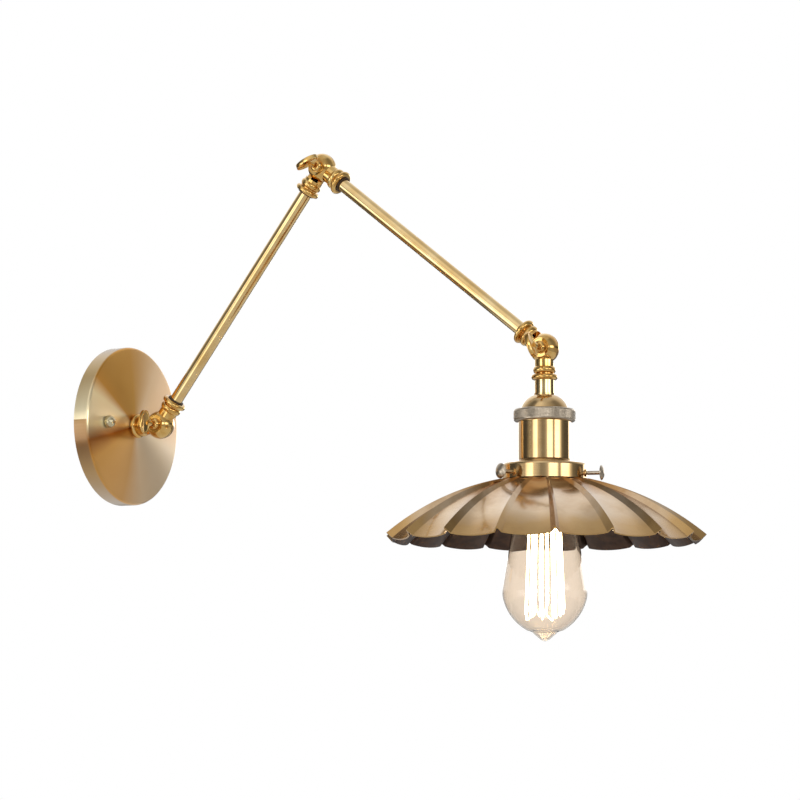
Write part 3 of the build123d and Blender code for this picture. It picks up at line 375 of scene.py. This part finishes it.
finishes = {
    "plate": {"colour": "#fdf6e4", "dark": "#f8edd4", "light": "#fffaf0", "roughness": 0.34,
              "lineContrast": 0.20, "anisotropy": 0.88, "lacquer": 0.45, "lineSpacing": 0.5, "patch": 40,
              "bump": 0.06,
              "sideStart": 65.0, "sideFade": 0.5,
              # painted reflection, light and dark, on the face and on its side band, by angle from the right
              # hand side;
              # these tints also carry the brass colour, and stand in for fans the light alone doesn't give
              # the brushed metal
              "facePaintedFans": [(-176, "#fff4d2"), (-165, "#b8742e"), (-150, "#d8a458"), (-104, "#e6b474"),
                           (-78, "#fde2c4"), (-16, "#fdead2"), (4, "#dab48c"), (60, "#ecceac"),
                           (98, "#e6b05c"), (146, "#e2a850"), (158, "#fff4d8")],
              "sidePaintedFans": [(-177, "#b0906a"), (-162, "#94704c"), (-140, "#c6a880"), (-95, "#dcd2cc"),
                           (110, "#a89c92"), (146, "#f2d8aa"), (172, "#fff8e0")]},
    "spun": {"colour": "#cfab74", "dark": "#c49d62", "light": "#dabb88", "roughness": 0.12,
             "lineContrast": 0.06, "anisotropy": 0.80, "lacquer": 0.6, "lineSpacing": 0.4, "patch": 25,
             "bump": 0.03},
    "cast": {"colour": "#dcb061", "dark": "#c68f3f", "light": "#e8c884", "roughness": 0.10,
             "lacquer": 0.6, "ripple": 6, "patch": 9, "bump": 0.15},
    "tube": {"colour": "#e3c286", "dark": "#d8b06c", "light": "#ecd3a0", "roughness": 0.08,
             "lacquer": 0.5, "ripple": 12, "patch": 18, "bump": 0.06},
    "antique": {"colour": "#b9ab97", "dark": "#a89a87", "light": "#c6b9a6", "roughness": 0.30,
                "lacquer": 0.2, "ripple": 1.0, "patch": 1.2, "bump": 0.2},
    "zincSteel": {"colour": "#b4b6b8", "dark": "#8d9092", "grain": 0.8, "metallic": 1.0, "roughness": 0.35},
    "fibre": {"colour": "#4b3626", "dark": "#35261b", "grain": 0.5, "metallic": 0.0, "roughness": 0.6},
    "sheath": {"colour": "#1c1b1a", "dark": "#121111", "grain": 1.2, "metallic": 0.0, "roughness": 0.5},
    "connector": {"colour": "#d98c1f", "dark": "#b56f12", "grain": 1.0, "metallic": 0.0, "roughness": 0.45},
    "phenolic": {"colour": "#221d19", "dark": "#16120f", "grain": 0.8, "metallic": 0.0, "roughness": 0.35},
    "nickel": {"colour": "#c6c2b8", "dark": "#9c978c", "grain": 1.5, "metallic": 1.0, "roughness": 0.25},
    "nutPlate": {"colour": "#cbbf9c", "dark": "#b8aa86", "light": "#d8cdae", "roughness": 0.26,
                 "lacquer": 0.2, "ripple": 4, "patch": 3, "bump": 0.04},
    "shadeOutside": {"colour": "#d2bea0", "dark": "#bea682", "light": "#dccdb6", "roughness": 0.17,
                     "lacquer": 0.6, "ripple": 25, "patch": 30, "bump": 0.03,
                     # painted shading: distance from the axis and tint, painted shade at the warm crown, pale
                     # painted sheen mid-way, golden at the rim
                     "paintedShadingBands": [(36, "#c99a5c"), (58, "#dcb884"), (74, "#fdf0e6"), (94, "#fff6ee"),
                               (107, "#e6cc9c"), (119, "#e0c48c")],
                     "shadingBandWander": 30, "shadingBandReach": 140},
    "shadeInside": {"colour": "#4e382a", "dark": "#3b2a20", "grain": 6.0, "metallic": 0.7, "roughness": 0.40},
    # the glasses' edge colours are painted shade, greyer where the glass is seen edge on
    "glass": {"colour": "#f9eee1", "edge": "#c4b6a4", "wave": 20},
    "filament": {"colour": "#fff3d6", "edge": "#ffdc96", "grain": 2.0, "glow": 14.0},
    "stemGlass": {"colour": "#efe6d2", "edge": "#cdb98e", "wave": 6},
}

brassPlate = spunBrass("brassSpunBrushedPlate", "Y", (0, 0, 0), finishes["plate"])
brassSpun = spunBrass("brassSpunBrushedHead", "Z", headPivot, finishes["spun"])
brassCast = polishedBrass("brassCastPolished", finishes["cast"])
brassTube = polishedBrass("brassDrawnTubePolished", finishes["tube"])
brassAntique = polishedBrass("brassAntiquedKnurled", finishes["antique"])
nutPlated = polishedBrass("brassPaleNickelPlated", finishes["nutPlate"])
brassShade = polishedBrass("brassPressedSheetSatin", finishes["shadeOutside"])
bronzeInside = plainFinish("bronzeLacqueredInside", finishes["shadeInside"])
steelZinc = plainFinish("steelZincPlated", finishes["zincSteel"])
fibreDark = plainFinish("fibreVulcanised", finishes["fibre"])
cableSheath = plainFinish("pvcCableSheath", finishes["sheath"])
connectorShell = plainFinish("nylonConnectorMoulded", finishes["connector"])
phenolicBlack = plainFinish("phenolicMoulded", finishes["phenolic"])
nickelCap = plainFinish("nickelPlatedCap", finishes["nickel"])
amberGlass = blownGlass("glassBlownAmber", finishes["glass"])
stemGlass = blownGlass("glassPressedStem", finishes["stemGlass"])
filamentGlow = glowingWire("carbonFilamentGlowing", finishes["filament"])

nodeFinishes = {
    brassPlate: ["back_plate"],
    brassSpun: ["socket_cap", "socket_shell", "shade_fitter"],
    brassCast: ["wall_knuckle_rear", "wall_knuckle_front", "elbow_rear", "elbow_front", "head_knuckle_rear",
                "head_knuckle_front", "wall_thumb_screw", "elbow_thumb_screw", "head_thumb_screw",
                "wall_pivot_nut", "elbow_pivot_nut", "head_pivot_nut", "swivel_stem"],
    brassTube: ["lower_arm_rod", "upper_arm_rod", "head_spacer", "screw_shell", "centre_contact"],
    nutPlated: ["cap_nuts"],
    brassAntique: ["knurled_ring", "fitter_screw_1", "fitter_screw_2", "fitter_screw_3"],
    brassShade: ["shade"],
    steelZinc: ["wall_bracket", "plate_studs", "stud_nuts", "earth_screw", "spring_washer", "stem_nut",
                "head_nipple", "nipple_nut", "locking_ring"],
    fibreDark: ["wall_friction_washer", "elbow_friction_washer", "head_friction_washer",
                "lower_rod_washers", "upper_rod_washers"],
    cableSheath: ["swivel_cable", "supply_leads", "lower_arm_cable", "upper_arm_cable", "head_cable",
                  "head_leads"],
    connectorShell: ["wire_connectors"],
    phenolicBlack: ["lamp_holder"],
    nickelCap: ["bulb_cap", "bulb_contact"],
    amberGlass: ["bulb_glass"],
    stemGlass: ["bulb_mount"],
    filamentGlow: ["bulb_filament"],
}


def dressNodes():
    for material, nodeNames in nodeFinishes.items():
        for nodeName in nodeNames:
            for materialSlot in frame["nodes"][nodeName].material_slots:
                materialSlot.material = material


dressNodes()
print("frame nodes dressed")


# Modelling helpers


def selectWhere(piece, test, mode="VERT"):
    # picks vertices, edges or faces in edit mode by where their middle is
    bpy.context.view_layer.objects.active = piece
    if piece.mode != "EDIT":
        bpy.ops.object.mode_set(mode="EDIT")
    bpy.ops.mesh.select_mode(type=mode)
    bpy.ops.mesh.select_all(action="DESELECT")
    bpy.ops.object.mode_set(mode="OBJECT")
    mesh = piece.data
    if mode == "VERT":
        for vertex in mesh.vertices:
            vertex.select = bool(test(vertex.co))
    else:
        for face in mesh.polygons:
            face.select = bool(test(face.center))
    bpy.ops.object.mode_set(mode="EDIT")


def leaveEdit():
    if bpy.context.object and bpy.context.object.mode != "OBJECT":
        bpy.ops.object.mode_set(mode="OBJECT")
    bpy.ops.object.select_all(action="DESELECT")


def startPiece(name, kind, **settings):
    leaveEdit()
    getattr(bpy.ops.mesh, f"primitive_{kind}_add")(**settings)
    piece = bpy.context.object
    piece.name = name
    piece.data.name = name
    bpy.ops.object.transform_apply(location=True, rotation=True, scale=True)
    return piece


def applyModifier(piece, name, kind, **settings):
    leaveEdit()
    modifier = piece.modifiers.new(name, kind)
    for key, value in settings.items():
        setattr(modifier, key, value)
    bpy.context.view_layer.objects.active = piece
    bpy.ops.object.modifier_apply(modifier=name)


def joinPieces(pieces):
    leaveEdit()
    for piece in pieces:
        piece.select_set(True)
    bpy.context.view_layer.objects.active = pieces[0]
    bpy.ops.object.join()
    return pieces[0]


def smoothEdges(piece, degrees=28):
    leaveEdit()
    piece.select_set(True)
    bpy.context.view_layer.objects.active = piece
    bpy.ops.object.shade_smooth_by_angle(angle=math.radians(degrees))


# Turns an outline of (radius, height) points in millimetres about the line that leaves origin
# along direction, as on a lathe.
def turnPiece(name, outline, origin, direction, steps=96):
    direction = Vector(direction).normalized()
    across = Vector((1, 0, 0)) if abs(direction.x) < 0.9 else Vector((0, 0, 1))
    across = (across - direction * across.dot(direction)).normalized()
    points = [origin + across * radius * mm + direction * height * mm for radius, height in outline]
    piece = startPiece(name, "plane", size=0.001, location=points[0])
    bpy.ops.object.mode_set(mode="EDIT")
    bpy.ops.mesh.select_mode(type="VERT")
    bpy.ops.mesh.select_all(action="SELECT")
    bpy.ops.mesh.merge(type="CENTER")
    for start, end in zip(points, points[1:]):
        bpy.ops.mesh.extrude_vertices_move(TRANSFORM_OT_translate={"value": end - start})
    bpy.ops.mesh.select_all(action="SELECT")
    bpy.ops.mesh.spin(steps=steps, angle=2 * math.pi, center=origin, axis=direction)
    bpy.ops.mesh.select_all(action="SELECT")
    bpy.ops.mesh.remove_doubles(threshold=0.000002)
    bpy.ops.mesh.normals_make_consistent(inside=False)
    smoothEdges(piece)
    return piece


def arcPoints(centre, radius, startAngle, endAngle, steps):
    angles = [math.radians(startAngle + (endAngle - startAngle) * step / steps) for step in range(steps + 1)]
    return [(centre[0] + radius * math.cos(angle), centre[1] + radius * math.sin(angle)) for angle in angles]


def smoothLine(points, steps):
    # a soft curve through every point of an outline
    line = []
    for place in range(len(points) - 1):
        before, start = Vector(points[max(place - 1, 0)]), Vector(points[place])
        end, after = Vector(points[place + 1]), Vector(points[min(place + 2, len(points) - 1)])
        for step in range(steps):
            share = step / steps
            line.append(tuple(0.5 * (2 * start + (end - before) * share
                                     + (2 * before - 5 * start + 4 * end - after) * share ** 2
                                     + (3 * start - before - 3 * end + after) * share ** 3)))
    return line + [tuple(points[-1])]


def handOver(piece, material, body, slot, *nodes):
    if material:
        piece.data.materials.clear()
        piece.data.materials.append(material)
    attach(piece, body)
    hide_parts(*nodes)


# Wall plate and tubes


plate = {
    "radius": 65.5,
    "depth": 15.5,
    "wall": 1.2,
    "edgeRound": 2.0,
    "crown": 2.0,  # how far the face falls from its middle to its edge
    "bore": 5.05,
    "faceRings": 12,
}


def buildPlate():
    flat = plate["radius"] - plate["edgeRound"]
    shoulder = plate["depth"] - plate["crown"]
    rings = plate["faceRings"]
    face = [(plate["bore"] + (flat - plate["bore"]) * step / rings,
             plate["depth"] - plate["crown"] * (step / rings) ** 2) for step in range(rings)]
    edge = arcPoints((flat, shoulder - plate["edgeRound"]), plate["edgeRound"], 90, 0, 8)
    inner = plate["edgeRound"] - plate["wall"]
    innerEdge = arcPoints((flat, shoulder - plate["edgeRound"]), inner, 0, 90, 6)
    innerFace = [(radius, height - plate["wall"]) for radius, height in reversed(face)]
    outline = face + edge + [(plate["radius"], 0), (plate["radius"] - plate["wall"], 0)]
    outline += innerEdge + innerFace
    piece = turnPiece("spunWallPlate", outline + outline[:1], Vector((0, 0, 0)), outFromWall, 144)
    handOver(piece, brassPlate, "wall_mount", "brass", "back_plate")


buildPlate()

tube = {
    "radius": 5.25,
    "bore": 3.5,
    "seat": 16.35,  # from each pivot to the end of the tube inside its collar
    "chamfer": 0.3,
    "rings": 8,
}


def buildTube(name, start, end, body, node):
    along = (end - start).normalized()
    length = (end - start).length / mm
    near, far = tube["seat"], length - tube["seat"]
    radius, chamfer, rings = tube["radius"], tube["chamfer"], tube["rings"]
    outline = [(tube["bore"], near), (radius - chamfer, near), (radius, near + chamfer)]
    straight = far - near - 2 * chamfer
    outline += [(radius, near + chamfer + straight * step / rings) for step in range(1, rings)]
    outline += [(radius, far - chamfer), (radius - chamfer, far), (tube["bore"], far), (tube["bore"], near)]
    piece = turnPiece(name, outline, start, along, 64)
    handOver(piece, brassTube, body, "brass", node)


buildTube("lowerArmTube", wallPivot, elbowPivot, "lower_arm", "lower_arm_rod")
buildTube("upperArmTube", elbowPivot, headPivot, "upper_arm", "upper_arm_rod")
print("plate and tubes turned")


# Thumb screws


thumbScrew = {
    "shank": (2.5, -12.0),  # radius, and how far its end reaches past the arm plane
    "boss": (4.8, 8.35, 3.6),  # radius, start and length
    "waist": 2.7,
    "padCentre": 24.0,
    "padLength": 20.0,
    "padWidth": 11.4,
    "padThickness": 3.4,
    "rim": 1.1,
    "dish": 0.75,
    "bossCrown": 1.2,  # from the boss's straight side to where its dome starts
    "padEdge": 0.45,
    "angles": {"wall": 3.0, "elbow": 65.0, "head": -18.0},
}


def buildThumbScrew(joint, pivot, body, node):
    look = thumbScrew
    outward = Vector((-1, 0, 0))
    shankRadius, shankEnd = look["shank"]
    bossRadius, bossStart, bossLength = look["boss"]
    bossEnd = bossStart + bossLength
    crown = look["bossCrown"]
    dome = [(look["waist"] + (bossRadius - look["waist"]) * math.cos(math.radians(step * 15)),
             bossStart + crown + (bossLength - crown) * math.sin(math.radians(step * 15)))
            for step in range(7)]
    outline = [(0, shankEnd), (shankRadius - 0.5, shankEnd), (shankRadius, shankEnd + 0.5),
               (shankRadius, bossStart), (bossRadius, bossStart)] + dome
    padStart = look["padCentre"] - look["padWidth"] / 2
    outline += [(look["waist"] * 0.88, (bossEnd + padStart) / 2), (look["waist"], padStart + 0.4),
                (look["waist"] * 0.8, padStart + 2.2), (0, padStart + 2.2)]
    stem = turnPiece(f"{joint}ThumbScrew", outline, pivot, outward, 48)

    pad = startPiece(f"{joint}ThumbPad", "cylinder", vertices=48, radius=1, depth=2, end_fill_type="NGON")
    for side in (1, -1):
        selectWhere(pad, lambda place: place.z * side > 0.9, "FACE")
        bpy.ops.mesh.inset(thickness=look["rim"] / 10, depth=0)
        bpy.ops.mesh.inset(thickness=0.04, depth=0)
        bpy.ops.transform.translate(value=(0, 0, -side * 2 * look["dish"] / look["padThickness"]))
        for again in range(3):
            bpy.ops.mesh.inset(thickness=0.2, depth=0)
            bpy.ops.transform.translate(value=(0, 0, -side * 0.08))
    bpy.ops.mesh.select_all(action="SELECT")
    bpy.ops.transform.resize(value=(look["padWidth"] / 2 * mm, look["padLength"] / 2 * mm,
                                    look["padThickness"] / 2 * mm), center_override=(0, 0, 0))
    bpy.ops.mesh.select_all(action="SELECT")
    turn = math.radians(look["angles"][joint])
    up = Vector((0, -math.sin(turn), math.cos(turn)))
    matrix = Matrix((outward, up, outward.cross(up))).transposed()
    euler = matrix.to_euler("XYZ")
    for axis, angle in (("X", euler.x), ("Y", euler.y), ("Z", euler.z)):
        bpy.ops.transform.rotate(value=-angle, orient_axis=axis, center_override=(0, 0, 0))
    bpy.ops.transform.translate(value=pivot + outward * look["padCentre"] * mm)
    applyModifier(pad, "Edges", "BEVEL", width=look["padEdge"] * mm, segments=3, limit_method="ANGLE",
                  angle_limit=math.radians(40))
    piece = joinPieces([stem, pad])
    smoothEdges(piece, 32)
    handOver(piece, brassCast, body, "brass", node)


buildThumbScrew("wall", wallPivot, "wall_thumb", "wall_thumb_screw")
buildThumbScrew("elbow", elbowPivot, "elbow_thumb", "elbow_thumb_screw")
buildThumbScrew("head", headPivot, "head_thumb", "head_thumb_screw")
print("thumb screws made")


# Grip ring


gripRing = {
    "radius": 23.25,
    "top": 46.4,
    "bottom": 55.8,
    "corner": 1.6,
    "bore": 20.05,
    "capBore": 18.4,
    "capWall": 1.2,
    "teeth": 132,
    "toothHeight": 0.22,
}


def buildGripRing():
    look = gripRing
    radius, corner = look["radius"], look["corner"]
    outline = [(look["capBore"], look["top"]), (radius - corner, look["top"])]
    outline += arcPoints((radius - corner, look["top"] + corner), corner, -90, 0, 5)[1:]
    rows = 6
    height = look["bottom"] - look["top"] - 2 * corner
    outline += [(radius, look["top"] + corner + height * row / rows) for row in range(1, rows)]
    outline += arcPoints((radius - corner, look["bottom"] - corner), corner, 0, 90, 5)
    outline += [(look["bore"], look["bottom"]), (look["bore"], look["top"] + look["capWall"]),
                (look["capBore"], look["top"] + look["capWall"]), (look["capBore"], look["top"])]
    piece = turnPiece("knurledGripRing", outline, headPivot, down, look["teeth"])
    bandTop = headPivot.z - (look["top"] + corner) * mm
    bandBottom = headPivot.z - (look["bottom"] - corner) * mm
    selectWhere(piece, lambda place: bandBottom < place.z < bandTop
                and (place.xy - headPivot.xy).length > (radius - 0.4) * mm, "FACE")
    bpy.ops.mesh.poke(offset=look["toothHeight"] * mm)
    smoothEdges(piece, 12)
    handOver(piece, brassAntique, "head", "dark_brass", "knurled_ring")


buildGripRing()
print("grip ring knurled")


# Shade


shade = {
    "rimRadius": 120.65,
    "pleats": 18,
    "ribAngle": 8.2,
    "stripStart": 33.0,
    "crestSlope": 11.5,
    "crestRadius": 195.0,
    "crestStart": (34.0, 99.4),
    "depthTop": 2.6,
    "depthRim": 7.2,
    "flankShare": 0.18,
    "flankDrop": 0.70,
    "sheet": 1.0,
    "rows": 34,
    "panelColumns": 12,
    "lipRadius": 28.5,
    "lipStart": 91.0,
    "crownHeight": 101.0,
}


def crestAt(radius):
    # slope and height of the arc that the crests follow
    startRadius, startHeight = shade["crestStart"]
    startSlope = math.radians(shade["crestSlope"])
    sine = math.sin(startSlope) + (radius - startRadius) / shade["crestRadius"]
    cosine = math.sqrt(1 - sine * sine)
    height = startHeight + shade["crestRadius"] * (math.cos(startSlope) - cosine)
    return math.asin(sine), height


def buildShade():
    look = shade
    halfPleat = math.pi / look["pleats"]
    flank = 1 - look["flankShare"]
    columns, rows = look["panelColumns"], look["rows"]
    far = 10  # the flat strip is shaped well away from where its rows are moved to
    piece = startPiece("pleatedShade", "grid", x_subdivisions=columns + 4, y_subdivisions=rows, size=2,
                       location=(0, 0, far))
    panel = [flank * (2 * column / columns - 1) for column in range(columns + 1)]
    sag = 1 - look["flankDrop"]
    bow = (flank * flank + sag * sag) / (2 * sag)
    places = [(-1, 0), (-(1 + flank) / 2, -look["flankDrop"] / 2)]
    places += [(across, -1 + bow - math.sqrt(bow * bow - across * across)) for across in panel]
    places += [((1 + flank) / 2, -look["flankDrop"] / 2), (1, 0)]
    for column, (across, drop) in enumerate(places):
        was = -1 + 2 * column / (columns + 4)
        selectWhere(piece, lambda place: abs(place.x - was) < 0.02 and abs(place.z - far) < 0.001)
        bpy.ops.transform.translate(value=(across - was, 0, drop))
    for row in range(rows + 1):
        was = -1 + 2 * row / rows
        share = row / rows
        radius = look["stripStart"] + (look["rimRadius"] - look["stripStart"]) * share
        slope, height = crestAt(radius)
        depth = look["depthTop"] + (look["depthRim"] - look["depthTop"]) * share
        depth *= min(1, 0.35 + 0.65 * share * rows / 3)
        selectWhere(piece, lambda place: abs(place.y - was) < 0.01 and place.z > far / 2)
        bpy.ops.transform.resize(value=(radius * math.sin(halfPleat) * mm, 1, depth * mm),
                                 center_override=(0, was, far))
        bpy.ops.transform.rotate(value=slope, orient_axis="X", center_override=(0, was, far))
        bpy.ops.transform.translate(value=headPivot + Vector((0, radius * math.cos(halfPleat) * mm - was,
                                                              -height * mm - far)))
    bpy.ops.mesh.select_all(action="SELECT")
    bpy.ops.transform.rotate(value=-math.radians(look["ribAngle"] + 180 / look["pleats"] - 90),
                             orient_axis="Z", center_override=headPivot)
    bpy.ops.mesh.spin(steps=look["pleats"] - 1, dupli=True, angle=2 * math.pi - 2 * halfPleat,
                      center=headPivot, axis=(0, 0, 1))
    bpy.ops.mesh.select_all(action="SELECT")
    bpy.ops.mesh.remove_doubles(threshold=0.00001)
    bpy.ops.mesh.normals_make_consistent(inside=False)
    leaveEdit()
    if sum(face.normal.z for face in piece.data.polygons) < 0:
        bpy.context.view_layer.objects.active = piece
        bpy.ops.object.mode_set(mode="EDIT")
        bpy.ops.mesh.flip_normals()
        leaveEdit()
    piece.data.materials.append(brassShade)
    piece.data.materials.append(bronzeInside)
    applyModifier(piece, "Sheet", "SOLIDIFY", thickness=look["sheet"] * mm, offset=-1, use_even_offset=True,
                  material_offset=1, material_offset_rim=0)
    applyModifier(piece, "Rim", "BEVEL", width=0.2 * mm, segments=2, limit_method="ANGLE",
                  angle_limit=math.radians(60))
    lip, top, sheet = look["lipRadius"], look["crownHeight"], look["sheet"]
    outline = [(lip - sheet, look["lipStart"]), (lip, look["lipStart"]), (lip, top - 1.8),
               (lip + 0.8, top - 0.9), (35, top), (35, top + sheet), (lip, top + sheet), (lip - sheet, top),
               (lip - sheet, look["lipStart"])]
    crown = turnPiece("shadeCrown", outline, headPivot, down)
    crown.data.materials.append(brassShade)
    whole = joinPieces([piece, crown])
    smoothEdges(whole, 18)
    handOver(whole, None, "head", "brass", "shade")


buildShade()
print("shade pleated")


# Bulb


bulb = {
    "outline": [(12.3, 113), (14.8, 117.5), (20.6, 127), (24.6, 137.5), (26.8, 151), (30.0, 170), (31.8, 185),
                (28.3, 197.0), (21.9, 206.0), (14.4, 211.9), (9.9, 213.6), (6.9, 216.3), (2.6, 219.8)],
    "neck": (12.3, 109.1),
    "tip": 220.6,
    "wall": 0.8,
    "widest": 185,
    "tipThickens": 1.6,  # how many walls thicker the glass gets at its tip
    "wire": 0.52,
    "cage": 14.6,
    "cageTop": 128.0,
    "cageBottom": 206.0,
    "mountTop": 124.0,
    "runs": 18,
    "sweep": 330,
    "nearer": 3.2,
    "shorter": 9,
    "sway": 5,
}


def buildBulb():
    look = bulb
    neckRadius, neckTop = look["neck"]
    curve = smoothLine(look["outline"], 5)
    outer = turnPiece("bulbEnvelope", [(0, neckTop), (neckRadius, neckTop)] + curve + [(0, look["tip"])],
                      headPivot, down)
    wall = look["wall"]
    inside = [(max(radius - wall, 0.3),
               height - wall * max(0, (height - look["widest"]) / 37) * look["tipThickens"])
              for radius, height in curve[:-1]]
    inner = turnPiece("bulbHollow", [(0, neckTop + 1.2), (neckRadius - wall, neckTop + 1.2)] + inside
                      + [(0, look["tip"] - 2.2)], headPivot, down)
    bpy.ops.object.mode_set(mode="EDIT")
    bpy.ops.mesh.select_all(action="SELECT")
    bpy.ops.mesh.flip_normals()
    piece = joinPieces([outer, inner])
    handOver(piece, amberGlass, "bulb", "amber_glass", "bulb_glass")


def buildFilament():
    look = bulb
    step = look["sweep"] / (look["runs"] - 1)
    points = []
    for run in range(look["runs"]):
        angle = math.radians(run * step)
        # the runs hang unevenly, some nearer the middle and some shorter
        radius = look["cage"] - look["nearer"] * (run % 3 == 1)
        spoke = Vector((math.cos(angle), math.sin(angle), 0)) * radius * mm
        lift = look["sway"] * abs(math.sin(run * 1.9)) + look["shorter"] * (run % 4 == 3)
        reach = look["cageBottom"] - lift
        top = headPivot + spoke * 0.8 + down * look["cageTop"] * mm
        bottom = headPivot + spoke + down * reach * mm
        points += [top, bottom] if run % 2 == 0 else [bottom, top]
    foot = headPivot + down * look["mountTop"] * mm
    points = [foot + Vector((0.0042, 0, 0))] + points + [foot + Vector((-0.003, -0.003, 0))]
    leaveEdit()
    line = bpy.data.curves.new("glowingFilament", "CURVE")
    line.dimensions = "3D"
    line.bevel_depth = look["wire"] * mm
    line.bevel_resolution = 3
    line.use_fill_caps = True
    spline = line.splines.new("POLY")
    corners = []
    for place, point in enumerate(points):
        if place in (0, len(points) - 1):
            corners.append(point)
            continue
        before, after = points[place - 1] - point, points[place + 1] - point
        bend = min(0.0016, before.length / 2.2, after.length / 2.2)
        start, end = point + before.normalized() * bend, point + after.normalized() * bend
        for share in (0, 0.25, 0.5, 0.75, 1):
            corners.append(start * (1 - share) ** 2 + point * 2 * share * (1 - share) + end * share ** 2)
    spline.points.add(len(corners) - 1)
    for place, corner in zip(spline.points, corners):
        place.co = (*corner, 1)
    piece = bpy.data.objects.new("glowingFilament", line)
    bpy.context.scene.collection.objects.link(piece)
    piece.select_set(True)
    bpy.context.view_layer.objects.active = piece
    bpy.ops.object.convert(target="MESH")
    smoothEdges(piece, 50)
    handOver(piece, filamentGlow, "bulb", "filament_wire", "bulb_filament")


buildBulb()
buildFilament()
print("bulb blown")
